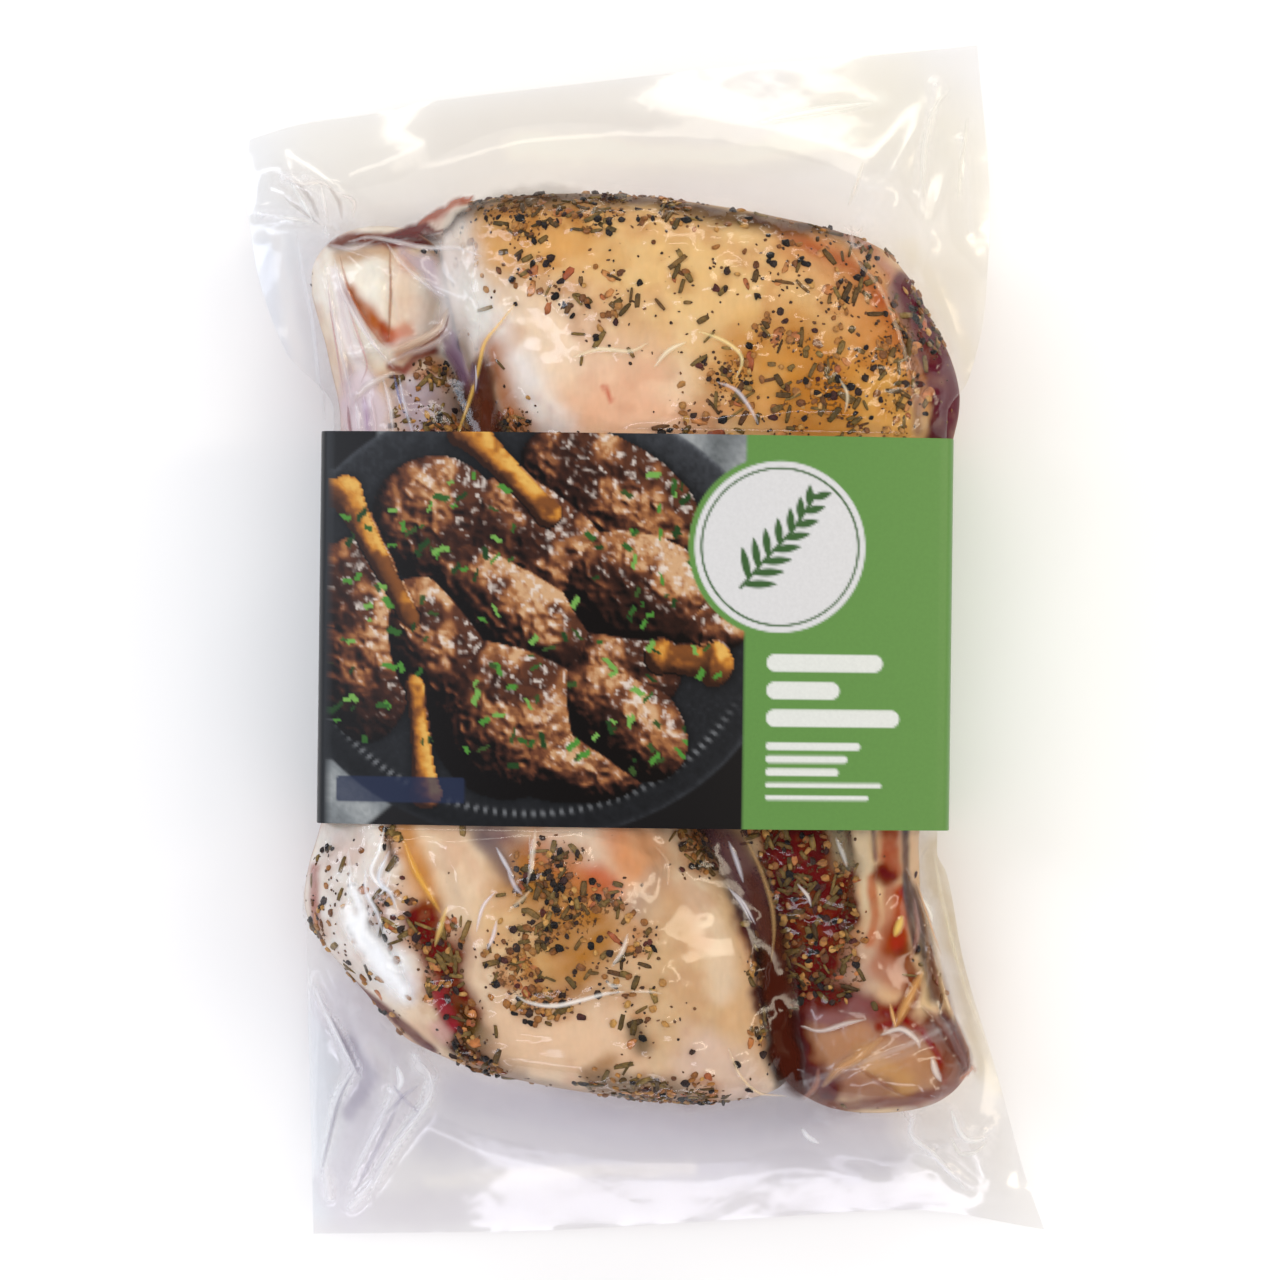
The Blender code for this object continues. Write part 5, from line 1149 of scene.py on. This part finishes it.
def dish_picture(across, along, step):
    """A plain picture of braised shanks on a dark stoneware plate, out of domes and tapered bones."""
    grain = cloud(across, along, GLAZE_SPECK, 70, 2)
    colour = table_top(across, along, grain)
    rise, kind = np.zeros_like(across), np.zeros_like(across)
    for centre, half, turn, height in BRAISED_LUMPS:
        du, dv = turned(across, along, centre, turn)
        dome = height * np.sqrt(np.clip(1 - (du / half[0]) ** 2 - (dv / half[1]) ** 2, 0, None))
        kind = np.where(dome > rise, 1.0, kind)
        rise = np.maximum(rise, dome)
    for start, end, wide_start, wide_end in BONES:
        away, share = along_line(across, along, (start, end))
        wide = (wide_start + (wide_end - wide_start) * share) * (BONE_WAIST + BONE_ENDS * (2 * share - 1) ** 4)
        dome = BONE_LIFT + np.sqrt(np.clip(wide**2 - away**2, 0, None))
        over = (away < wide) & (dome > rise)
        kind, rise = np.where(over, 2.0, kind), np.where(over, dome, rise)
    meaty, bony = kind == 1, kind == 2
    rough = 2.4 * cloud(across, along, 6.0, 73, 3) + 1.2 * ridged(across, along, 3.0, 74)
    rough_rise = rise + rough * meaty + 0.25 * cloud(across, along, 2.0, 75, 2) * bony
    slope_u, slope_v = np.gradient(rough_rise, *step)
    facing = 1 / np.sqrt(1 + slope_u**2 + slope_v**2)
    light = (LIGHT_FROM[0] * slope_u + LIGHT_FROM[1] * slope_v + LIGHT_FROM[2]) * facing
    light = np.clip(light + 0.35 * (grain - 0.5), 0, 1)
    char = ramp(cloud(across, along, CHAR_SIZE, 76, 3), 0.42, 0.62)
    shine = ramp(light, 0.60, 1.0) * ramp(cloud(across, along, GLAZE_SIZE, 79, 2), 0.56, 0.80)
    braised = laid(shaded(light * (0.92 - 0.55 * char), BRAISED_TONES), 0.75 * shine, GLAZE)
    bone = shaded(light * (1 - 0.7 * ramp(cloud(across, along, 5.0, 80, 3), 0.45, 0.7)), BONE_TONES)
    shadow = 1 - SHADOW * np.clip(sunk_around(kind > 0), 0, 1)
    colour *= np.where(kind > 0, 1.0, shadow)[..., None]
    colour = np.where(meaty[..., None], braised, np.where(bony[..., None], bone, colour))
    draw = np.random.default_rng(LEAF_SEED)
    for _ in range(LEAF_COUNT):
        centre = (draw.uniform(*LEAF_SPAN[0]), draw.uniform(*LEAF_SPAN[1]))
        turn, long, wide = draw.uniform(0, 180), draw.uniform(0.5, 2.2), draw.uniform(0.35, 0.9)
        tone = draw.choice(LEAF_TONES)
        du, dv = turned(across, along, centre, turn)
        bent = dv + 0.5 * wide * np.sin(3 * du / long)
        leaf = 1 - ramp((du / long) ** 2 + (bent / wide) ** 2, 0.75, 1.15)
        colour = laid(colour, leaf * (kind > 0), tone)
    return colour


def sunk_around(solid_mask):
    """How dark the plate is round what lies on it."""
    blurred = solid_mask.astype(float)
    for _ in range(SHADOW_STEPS):
        blurred = np.maximum(spread_out(blurred), solid_mask)
    return blurred


def badge_paint(colour, across, along):
    """A round off-white field with a sprig of rosemary."""
    away = np.hypot(across - BADGE_CENTRE[0], along - BADGE_CENTRE[1])
    colour = laid(colour, up_to(away, BADGE_RADIUS + BADGE_RING), LEAF_GREEN)
    colour = laid(colour, up_to(away, BADGE_RADIUS), BADGE_WHITE)
    inset, half = BADGE_LINE
    colour = laid(colour, np.exp(-(((away - BADGE_RADIUS + inset) / half) ** 4)), SPRIG_GREEN)
    stem = np.array(SPRIG_STEM) + BADGE_CENTRE
    colour = laid(colour, 1 - ramp(along_line(across, along, stem)[0], *SPRIG_STEM_EDGE), SPRIG_GREEN)
    for number in range(SPRIG_LEAVES):
        t = (number + 0.6) / SPRIG_LEAVES
        spot = np.array([np.interp(t, np.linspace(0, 1, len(stem)), stem[:, k]) for k in (0, 1)])
        side = 1 if number % 2 else -1
        bearing = math.radians(SPRIG_BEARING + side * (52 - 18 * t))
        reach = SPRIG_LEAF * (1 - 0.45 * t) * np.array([math.cos(bearing), math.sin(bearing)])
        off, share = along_line(across, along, (spot, spot + reach))
        wide = SPRIG_LEAF_WIDE * np.sin(np.pi * np.clip(0.12 + 0.8 * share, 0, 1))
        colour = laid(colour, 1 - ramp(off, wide - 0.25, wide + 0.25), SPRIG_GREEN)
    return colour


def front_paint(across, along, step):
    """The front panel: the picture, the green field, the badge and the plain bars."""
    colour = dish_picture(across, along, step)
    colour = laid(colour, 0.85 * rounded_bar(across, along, *BAND, 0.8, PRINT_STEP), BAND_BLUE)
    colour = laid(colour, 1 - up_to(across, PICTURE_EDGE), LEAF_GREEN)
    colour = badge_paint(colour, across, along)
    for left, level, length, height in PALE_BARS:
        middle, size = (left + length / 2, level), (length, height)
        colour = laid(colour, rounded_bar(across, along, middle, size, height / 2, PRINT_STEP), BAR_WHITE)
    return colour


def back_paint(across, along):
    """The back panel: green with a pale field and plain bars."""
    colour = plain(across, LEAF_GREEN)
    for centre, size, radius, name in BACK_FIELDS:
        colour = laid(colour, rounded_bar(across, along, centre, size, radius, 1.0), name)
    return colour


def strip_outline(offset):
    """The sleeve's section outside the card, from the back panel's middle round, in four runs of points."""
    half, level = SLEEVE_WIDTH / 2 + offset, SLEEVE_EDGE_HEIGHT + offset
    back, front = BACK_CREASE_RADIUS + offset, FRONT_CREASE_RADIUS + offset
    foot, head = back - offset, level - front
    low = np.radians(np.linspace(-90, 0, 12))
    right = [((half - back) + back * math.cos(a), foot + back * math.sin(a)) for a in low]
    for t in np.linspace(0, 1, 18)[1:-1]:
        right.append((half + SLEEVE_SIDE_BOW * math.sin(math.pi * t), foot + (head - foot) * t))
    high = np.radians(np.linspace(0, FRONT_CREASE_END, 8))
    right += [((half - front) + front * math.cos(a), head + front * math.sin(a)) for a in high]
    count = int(CROWN_REACH * 2 * (half - front) / PRINT_STEP)
    steps = np.linspace(CROWN_REACH, -CROWN_REACH, count)
    crown = [((half - front) * t, level + SLEEVE_CROWN * (1 - t * t)) for t in steps]
    left = [(-x, z) for x, z in reversed(right)]
    lap, flat = LAP_MIDDLE + GLUE_LAP / 2, half - back
    bottom = [(x, -offset) for x in np.linspace(-flat, lap - 0.1, 56)]
    bottom += [(lap + 0.1, CARD - offset), (lap + LAP_CLEARANCE, CARD - offset)]
    bottom += [(x, -offset) for x in np.linspace(lap + LAP_CLEARANCE + LAP_RAMP, flat, 22)]
    return np.array(right), np.array(crown), np.array(left), np.array(bottom)


def drawn_along(section, step):
    """A section drawn along the sleeve: places across and along it, and the surface's points."""
    along = np.linspace(-SLEEVE_LENGTH / 2, SLEEVE_LENGTH / 2, int(SLEEVE_LENGTH / step))[None, :]
    across, runs, level = np.broadcast_arrays(section[:, :1], along, section[:, 1:])
    return across, runs, np.stack([*out_of_sleeve(across, runs), level], axis=-1)


def sleeve_prints():
    """The print as skins just outside the card: over the front and sides, and over the back."""
    right, crown, left, bottom = strip_outline(PRINT_LIFT)
    across, runs, front = drawn_along(np.concatenate([right, crown, left]), PRINT_STEP)
    first, last = len(right), len(right) + len(crown)
    ink = plain(across, LEAF_GREEN)
    step = (crown[1, 0] - crown[0, 0], runs[0, 1] - runs[0, 0])
    ink[first:last] = front_paint(across[first:last], runs[first:last], step)
    ink[last:] = linear(SIDE_SLATE)
    across, runs, back = drawn_along(bottom, BACK_STEP)
    return (front, ink * INK_STRENGTH), (back, back_paint(across, runs))


def ball(rings=4, sides=7):
    """A coarse round body, as points and faces, for grains to be made of."""
    points, faces = [(0.0, 0.0, -0.5)], []
    for ring in range(1, rings):
        tilt = math.pi * ring / rings
        for side in range(sides):
            turn = math.tau * (side + 0.5 * (ring % 2)) / sides
            wide = 0.5 * math.sin(tilt)
            points.append((wide * math.cos(turn), wide * math.sin(turn), -0.5 * math.cos(tilt)))
    points.append((0.0, 0.0, 0.5))
    top = 1 + (rings - 2) * sides
    for side in range(sides):
        after = (side + 1) % sides
        faces.append((0, 1 + after, 1 + side))
        for low in range(1, top, sides):
            faces.append((low + side, low + after, low + sides + after, low + sides + side))
        faces.append((top + side, top + after, len(points) - 1))
    return np.array(points), faces


def needle(stations=6, sides=7):
    """A rosemary leaf: long, a little bent, blunt at its cut end, with a groove down its back."""
    points, faces = [], []
    for station in range(stations):
        t = station / (stations - 1)
        wide = 0.5 * (0.55 + 0.45 * math.sin(math.pi * (0.15 + 0.75 * t)))
        for side in range(sides):
            turn = math.tau * side / sides
            groove = 1 - 0.45 * math.exp(-(((turn - math.pi / 2) / 0.5) ** 2))
            points.append((t - 0.5, wide * math.cos(turn), wide * math.sin(turn) * groove))
    for low in range(0, (stations - 1) * sides, sides):
        high = low + sides
        for side in range(sides):
            after = (side + 1) % sides
            faces.append((low + side, high + side, high + after, low + after))
    faces.append(tuple(range(sides)))
    faces.append(tuple(range((stations - 1) * sides, stations * sides))[::-1])
    return np.array(points), faces


def flake():
    """A dried, wavy flake: a coarse ball pressed flat, with an uneven outline."""
    points, faces = ball(4, 10)
    turn = np.arctan2(points[:, 1], points[:, 0])
    uneven = 1 + 0.20 * np.sin(2 * turn + 0.6) + 0.14 * np.sin(5 * turn)
    points[:, :2] *= uneven[:, None]
    points[:, 2] += 0.25 * np.sin(3 * points[:, 0] + 2 * points[:, 1])
    return points, faces


GRAINS = {"needle": needle, "ball": ball, "flake": flake, "speck": lambda: ball(3, 5)}


def meat_places(draw, meats, trees, count):
    """Even random places over what shows of the meat: place, normal."""
    places, normals = [], []
    for number, (points, normal) in enumerate(meats):
        low = points[:-1, :-1]
        cell = np.linalg.norm(np.cross(points[1:, :-1] - low, points[:-1, 1:] - low), axis=-1)
        chance = (cell / cell.sum()).ravel()
        i, j = np.unravel_index(draw.choice(chance.size, size=count, p=chance), cell.shape)
        s, t = draw.random((2, count))[..., None]
        spot = points[i, j] * (1 - s) * (1 - t) + points[i + 1, j] * s * (1 - t)
        spot = spot + points[i, j + 1] * (1 - s) * t + points[i + 1, j + 1] * s * t
        free = []
        for place in map(Vector, spot):
            near, facing, _, _ = trees[1 - number].find_nearest(place)
            free.append((place - near).dot(facing) > FREE_OF_OTHER)
        places.append(spot[free])
        normals.append(normal[i, j][free])
    return np.concatenate(places), np.concatenate(normals)


def strewn(draw, kind, spots, facings):
    """Which of the places hold a grain of this kind."""
    _, along = sleeve_frame(spots[:, 0], spots[:, 1])
    showing = np.abs(along) > SLEEVE_LENGTH / 2 - 1.0
    thick = seasoned(spots[:, 0], spots[:, 1]) * ramp(facings[:, 2], -0.1, 0.3) * (spots[:, 2] > LOWEST_GRAIN)
    taken = draw.random(len(spots)) < thick * showing * kind["share"]
    return np.flatnonzero(taken)[: kind["most"]]


def unit(ways):
    return ways / np.linalg.norm(ways, axis=1, keepdims=True)


def grain_mesh(draw, kind, spots, facings):
    """All the grains of one kind as one set of points, faces and colours, and the size of each."""
    base, faces = GRAINS[kind["shape"]]()
    count = len(spots)
    sizes = np.array(kind["size"]) * draw.uniform(1 - kind["spread"], 1 + kind["spread"], (count, 3))
    rough = 1 + kind["rough"] * draw.uniform(-1, 1, (count, len(base), 1))
    shapes = base[None] * rough * sizes[:, None, :]
    if kind["bend"]:
        shapes[..., 2] += draw.uniform(-1, 1, (count, 1)) * kind["bend"] * (2 * base[None, :, 0]) ** 2
    turn = draw.uniform(0, math.tau, count)[:, None]
    lean = np.radians(draw.normal(0, kind["lean"], count))[:, None]
    side = unit(np.cross(facings, np.array([0.31, 0.87, 0.38])))
    first = side * np.cos(turn) + np.cross(facings, side) * np.sin(turn)
    first = first * np.cos(lean) + facings * np.sin(lean)
    third = unit(facings - first * (facings * first).sum(1, keepdims=True))
    frames = np.stack([first, np.cross(third, first), third], axis=1)
    lifted = spots + facings * (sizes[:, 2:3] * kind["lift"])
    points = np.einsum("nvk,nkc->nvc", shapes, frames) + lifted[:, None, :]
    tones = np.array([linear(name) for name in kind["tones"]])
    mix = draw.random((count, 1)) * (len(tones) - 1)
    low = np.clip(np.floor(mix).astype(int)[:, 0], 0, len(tones) - 2)
    part = mix - low[:, None]
    tone = tones[low] * (1 - part) + tones[low + 1] * part
    darker = 1 - kind["rim"] * (np.abs(base[:, 0]) * 2)[None, :, None] ** 2
    colours = tone[:, None, :] * darker * draw.uniform(0.85, 1.15, (count, len(base), 1))
    index = [tuple(v + grain * len(base) for v in face) for grain in range(count) for face in faces]
    return points, index, colours, sizes


def raise_over(top, x, y, bumps):
    """The level that the film lies on, lifted over each of the larger grains."""
    tree = KDTree(x.size)
    for number, (px, py) in enumerate(zip(x.ravel(), y.ravel())):
        tree.insert((px, py, 0.0), number)
    tree.balance()
    flat = top.ravel().copy()
    for place, reach, height in bumps:
        level = place[2] + height
        for _, number, gap in tree.find_range((place[0], place[1], 0.0), reach * 1.8):
            if not np.isnan(flat[number]) and place[2] > flat[number] - 2.0:
                lift = height * math.exp(-((gap / reach) ** 2))
                flat[number] = max(flat[number], min(level, place[2] + lift))
    return flat.reshape(top.shape)


# Most of a noise's values lie between these
NOISE_SPAN = {"From Min": 0.3, "From Max": 0.7}


def blank_material(name):
    made = bpy.data.materials.new(name)
    made.use_nodes = True
    made.node_tree.nodes.clear()
    return made, made.node_tree


def add(tree, kind, sockets=(), **settings):
    """Adds a node with its settings, and its sockets set to values or linked to the outputs of others."""
    made = tree.nodes.new("ShaderNode" + kind)
    for name, value in settings.items():
        setattr(made, name, value)
    for name, value in dict(sockets).items():
        if isinstance(value, bpy.types.NodeSocket):
            tree.links.new(value, made.inputs[name])
        else:
            made.inputs[name].default_value = value
    return made.outputs


def raw_lamb():
    """Raw lamb: creamy fat and red lean under juice, soft and a little see-through, wet but under film."""
    made, tree = blank_material("raw_lamb")
    place = add(tree, "TexCoord")["Object"]
    paint = add(tree, "Attribute", attribute_name="paint")
    # Marbling in veins 7 mm apart, and fibres of 0.1 mm drawn 1.2 mm apart so that they show
    veins = {"Scale": 1000 / 7, "Detail": 5.0, "Roughness": 0.6}
    marbling = add(tree, "TexNoise", {"Vector": place, **veins})["Fac"]
    grain_way = add(tree, "Mapping", {"Vector": place, "Scale": (1.0, 0.35, 1.0)})["Vector"]
    fibres = add(tree, "TexNoise", {"Vector": grain_way, "Scale": 1000 / 1.2, "Detail": 3.0})["Fac"]
    shade = add(tree, "MapRange", {"Value": marbling, **NOISE_SPAN, "To Min": 0.94, "To Max": 1.07})["Result"]
    strand = add(tree, "MapRange", {"Value": fibres, **NOISE_SPAN, "To Min": 0.97, "To Max": 1.03})["Result"]
    both = add(tree, "Math", {0: shade, 1: strand}, operation="MULTIPLY")["Value"]
    toned = add(tree, "VectorMath", {0: paint["Color"], "Scale": both}, operation="SCALE")["Vector"]
    # Ground pepper and herb dust, 0.4 mm grains drawn 0.9 mm wide, thicker where the paint's alpha says so
    dust = add(tree, "TexNoise", {"Vector": place, "Scale": 1000 / 0.9, "Detail": 2.0})["Fac"]
    edge = add(tree, "MapRange", {"Value": paint["Alpha"], "To Min": 0.78, "To Max": 0.56})["Result"]
    speck = add(tree, "Math", {0: dust, 1: edge}, operation="SUBTRACT")["Value"]
    specks = add(tree, "MapRange", {"Value": speck, "From Max": 0.03, "To Max": 0.7})["Result"]
    dusted = add(tree, "Mix", {"Factor": specks, 6: toned, 7: rgba("#4E3217")}, data_type="RGBA")[2]
    bump = add(tree, "Bump", {"Height": fibres, "Strength": 0.15, "Distance": 0.4 * MM})["Normal"]
    skin = add(tree, "BsdfPrincipled", {
        "Base Color": dusted, "Roughness": 0.5, "IOR": 1.40, "Specular IOR Level": 0.08, "Normal": bump,
        "Subsurface Weight": 0.12, "Subsurface Radius": (1.0, 0.45, 0.25), "Subsurface Scale": 2 * MM,
    })
    add(tree, "OutputMaterial", {"Surface": skin["BSDF"]})
    return made


def vacuum_film():
    """Blown nylon and polythene film: clear and glossy, milky in thick layers, white along its creases, with
    painted glare, glints and shade in its paint.
    """
    made, tree = blank_material("vacuum_film")
    place = add(tree, "TexCoord")["Object"]
    # The paint carries the film's smears and milkiness with the painted glare, glints and shade; its alpha is
    # how much it hides
    film_marks_and_glints = add(tree, "Attribute", attribute_name="paint")
    tint = add(tree, "Attribute", attribute_name="tint")
    crinkle = add(tree, "TexNoise", {"Vector": place, "Scale": 1000 / 6, "Detail": 2.0})["Fac"]
    bump = add(tree, "Bump", {"Height": crinkle, "Strength": 0.18, "Distance": 0.8 * MM})["Normal"]
    clear = add(tree, "BsdfTransparent", {"Color": tint["Color"]})["BSDF"]
    milky = add(tree, "BsdfDiffuse", {"Color": film_marks_and_glints["Color"]})["BSDF"]
    body = add(tree, "MixShader", {"Fac": film_marks_and_glints["Alpha"], 1: clear, 2: milky})["Shader"]
    gloss = add(tree, "BsdfGlossy", {"Color": rgba("#FFFFFF"), "Roughness": 0.13, "Normal": bump})["BSDF"]
    # A thin sheet mirrors the same from both sides: 4% straight on, more towards the edge
    facing = add(tree, "LayerWeight", {"Blend": 0.5, "Normal": bump})["Facing"]
    steep = add(tree, "Math", {0: facing, 1: 5.0}, operation="POWER")["Value"]
    edge_on = add(tree, "Math", {0: steep, 1: 0.3, 2: 0.035}, operation="MULTIPLY_ADD")["Value"]
    film = add(tree, "MixShader", {"Fac": edge_on, 1: body, 2: gloss})["Shader"]
    add(tree, "OutputMaterial", {"Surface": film})
    return made


def mottled(name, size, depth, tooth, skin):
    """A piece's own paint under a mottle of this size in mm, with a tooth: its strength and height in mm."""
    made, tree = blank_material(name)
    place = add(tree, "TexCoord")["Object"]
    paint = add(tree, "Attribute", attribute_name="paint")["Color"]
    mottle = add(tree, "TexNoise", {"Vector": place, "Scale": 1000 / size, "Detail": 3.0})["Fac"]
    span = {**NOISE_SPAN, "To Min": 1 - depth, "To Max": 1 + depth}
    shade = add(tree, "MapRange", {"Value": mottle, **span})["Result"]
    toned = add(tree, "VectorMath", {0: paint, "Scale": shade}, operation="SCALE")["Vector"]
    bump = add(tree, "Bump", {"Height": mottle, "Strength": tooth[0], "Distance": tooth[1] * MM})["Normal"]
    surface = add(tree, "BsdfPrincipled", {"Base Color": toned, "Normal": bump, **skin})
    add(tree, "OutputMaterial", {"Surface": surface["BSDF"]})
    return made


def dried_spice(name, kind):
    """Dried herb or spice, wet with juice: each grain has its own colour, with a fine mottle and a tooth."""
    skin = {"Roughness": kind["roughness"], "IOR": 1.45}
    return mottled(name, kind["mottle"], kind["depth"], (0.5, 0.3), skin)


def varnished_print():
    """Offset print on coated board under satin varnish: flat ink, a faint sheen and a trace of the tooth."""
    # The tooth of 0.1 mm is drawn 0.8 mm wide so that it shows
    return mottled("varnished_print", 0.8, 0.03, (0.06, 0.2), {"Roughness": 0.42, "IOR": 1.46})


def folding_board():
    """Uncoated back of folding board: pale grey pulp with short fibres in it, matt."""
    made, tree = blank_material("folding_board")
    place = add(tree, "TexCoord")["Object"]
    stretched = add(tree, "Mapping", {"Vector": place, "Scale": (1.0, 0.3, 1.0)})["Vector"]
    # Fibres of 0.03 mm are drawn 0.6 mm apart so that they show
    pulp = add(tree, "TexNoise", {"Vector": stretched, "Scale": 1000 / 0.6, "Detail": 4.0})["Fac"]
    greys = {6: rgba("#CFCBC2"), 7: rgba("#F2F0EA")}
    tone = add(tree, "Mix", {"Factor": pulp, **greys}, data_type="RGBA")[2]
    bump = add(tree, "Bump", {"Height": pulp, "Strength": 0.3, "Distance": 0.2 * MM})["Normal"]
    skin = add(tree, "BsdfPrincipled", {"Base Color": tone, "Roughness": 0.85, "IOR": 1.5, "Normal": bump})
    add(tree, "OutputMaterial", {"Surface": skin["BSDF"]})
    return made


def matt_floor():
    """A sweep of matt pale board, even all over."""
    made, tree = blank_material("floor")
    skin = add(tree, "BsdfPrincipled", {"Base Color": rgba("#FAFAFA"), "Roughness": 0.9})
    add(tree, "OutputMaterial", {"Surface": skin["BSDF"]})
    return made


def studio():
    """A pale floor, soft boxes on the four sides and a camera straight above the pack."""
    scene = bpy.context.scene

    def placed(name, data, place=(0.0, 0.0, 0.0)):
        made = bpy.data.objects.new(name, data)
        made.location = place
        scene.collection.objects.link(made)
        return made

    shape = bpy.data.meshes.new("floor")
    corners = [(x * FLOOR_HALF, y * FLOOR_HALF, FLOOR_LEVEL) for x, y in ((-1, -1), (1, -1), (1, 1), (-1, 1))]
    shape.from_pydata(corners, [], [(0, 1, 2, 3)])
    shape.materials.append(matt_floor())
    placed("floor", shape)
    world = bpy.data.worlds.new("studio")
    world.use_nodes = True
    backdrop = world.node_tree.nodes["Background"].inputs
    backdrop["Color"].default_value, backdrop["Strength"].default_value = rgba(WORLD_COLOUR), WORLD_STRENGTH
    world.cycles_visibility.glossy = False
    scene.world = world
    for name, (place, size, watts, colour, mirrored) in SOFT_BOXES.items():
        lamp = bpy.data.lights.new(name, "AREA")
        lamp.shape, lamp.size, lamp.size_y = "RECTANGLE", *size
        lamp.energy, lamp.color = watts, linear(colour).tolist()
        holder = placed(name, lamp, place)
        holder.rotation_euler = (Vector(BOXES_FACE) - Vector(place)).to_track_quat("-Z", "Y").to_euler()
        holder.visible_camera, holder.visible_glossy = False, mirrored
    lens = bpy.data.cameras.new("camera")
    lens.lens, lens.sensor_width = CAMERA_LENS, CAMERA_SENSOR
    scene.camera = placed("camera", lens, CAMERA_PLACE)
    scene.view_settings.view_transform = "Standard"


def shanks():
    """The two shanks as pieces, their points and normals, and trees to find places on them."""
    raw = raw_lamb()
    plans = (
        ("shank_left", LEFT_SHANK, SEAMS_LEFT, LEFT_GROUND, LEFT_MEAT),
        ("shank_right", RIGHT_SHANK, SEAMS_RIGHT, RIGHT_GROUND, RIGHT_MEAT),
    )
    pieces, meats, trees = [], [], []
    for seed, (name, shank, seams, ground, zones) in zip(MEAT_SEEDS, plans):
        points = shank_points(shank, seams, seed)
        normals = ring_normals(points)
        x, y = points[..., 0], points[..., 1]
        colour = blushed(x, y, painted(x, y, ground, zones, seed + 40), seed + 45)
        colour = underside(points, normals, colour, seed + 50)
        dust = seasoned(x, y) * ramp(normals[..., 2], -0.3, 0.2)
        colour = np.clip((oiled(x, y, colour, dust, seed + 60) - VEIL) / LIGHT_GAIN, 0.0, 1.0)
        faces = tube_faces(SHANK_RINGS, UPPER_SIDES + LOWER_SIDES, shank["sawn_y"] > shank["knuckle_y"])
        pieces.append(solid(name, points, faces, raw, np.dstack([colour, dust])))
        meats.append((points, normals))
        trees.append(tree_of(points, faces))
    return pieces, meats, trees


def seasoning(meats, trees):
    """Each kind of grain as one piece, and the bumps that the larger ones make in the film."""
    draw = np.random.default_rng(SEASONING_SEED)
    pieces, bumps = [], []
    for name, kind in KINDS.items():
        spots, facings = meat_places(draw, meats, trees, kind["tries"])
        chosen = strewn(draw, kind, spots, facings)
        points, index, colours, sizes = grain_mesh(draw, kind, spots[chosen], facings[chosen])
        finish = dried_spice(name, kind)
        pieces.append(solid(name, points, index, finish, colours, smooth=kind["shape"] != "ball"))
        for spot, facing, size in zip(spots[chosen], facings[chosen], sizes):
            if kind["bump"] and facing[2] > 0:
                bumps.append((spot, max(size[0] * 0.5, 1.5), size[2] * (kind["lift"] + 0.5)))
    return pieces, bumps


def pouch(trees, bumps):
    """The pouch's front and back film, and the thin folds on its front."""
    x, y = pouch_plan(*FILM_GRID)
    top, bottom = heights_over(x, y, trees)
    top = beside(raise_over(top, x, y, bumps), np.fmax)
    front, back, white, bend = film_shape(x, y, top, beside(bottom, np.fmin))
    full = (~np.isnan(top)).astype(float)
    for _ in range(3):
        full = spread_out(full)
    paint, tint = film_paint(x, y, full, white, bend), film_tint(x, y, full)
    film = vacuum_film()
    points, faces = np.stack([x, y, front], axis=-1), grid_faces(*x.shape)
    upper = solid("film_front", points, faces, film, paint, tint)
    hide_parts("bag")
    # The thin folds' paint is their painted glints and painted shade
    points, faces, pinch_glints_and_shade = pinched_folds(tree_of(points, faces))
    folds = solid("film_folds", points, faces, film, pinch_glints_and_shade, np.ones_like(points))
    x, y, back, paint, tint = (field[::2, ::2] for field in (x, y, back, paint, tint))
    faces = [face[::-1] for face in grid_faces(*x.shape)]
    lower = solid("film_back", np.stack([x, y, back], axis=-1), faces, film, paint, tint)
    return upper, folds, lower


def card_sleeve():
    """The sleeve keeps its own board and gets its print, front and back."""
    ink, board = varnished_print(), folding_board()
    for name, (points, colours) in zip(("sleeve_print", "sleeve_back_print"), sleeve_prints()):
        solid(name, points, grid_faces(*points.shape[:2]), ink, colours)
    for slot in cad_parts["sleeve"].material_slots:
        slot.material = board


studio()
meat_pieces, meats, trees = shanks()
grain_pieces, bumps = seasoning(meats, trees)
for piece in (*meat_pieces, *grain_pieces, *pouch(trees, bumps)):
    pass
card_sleeve()
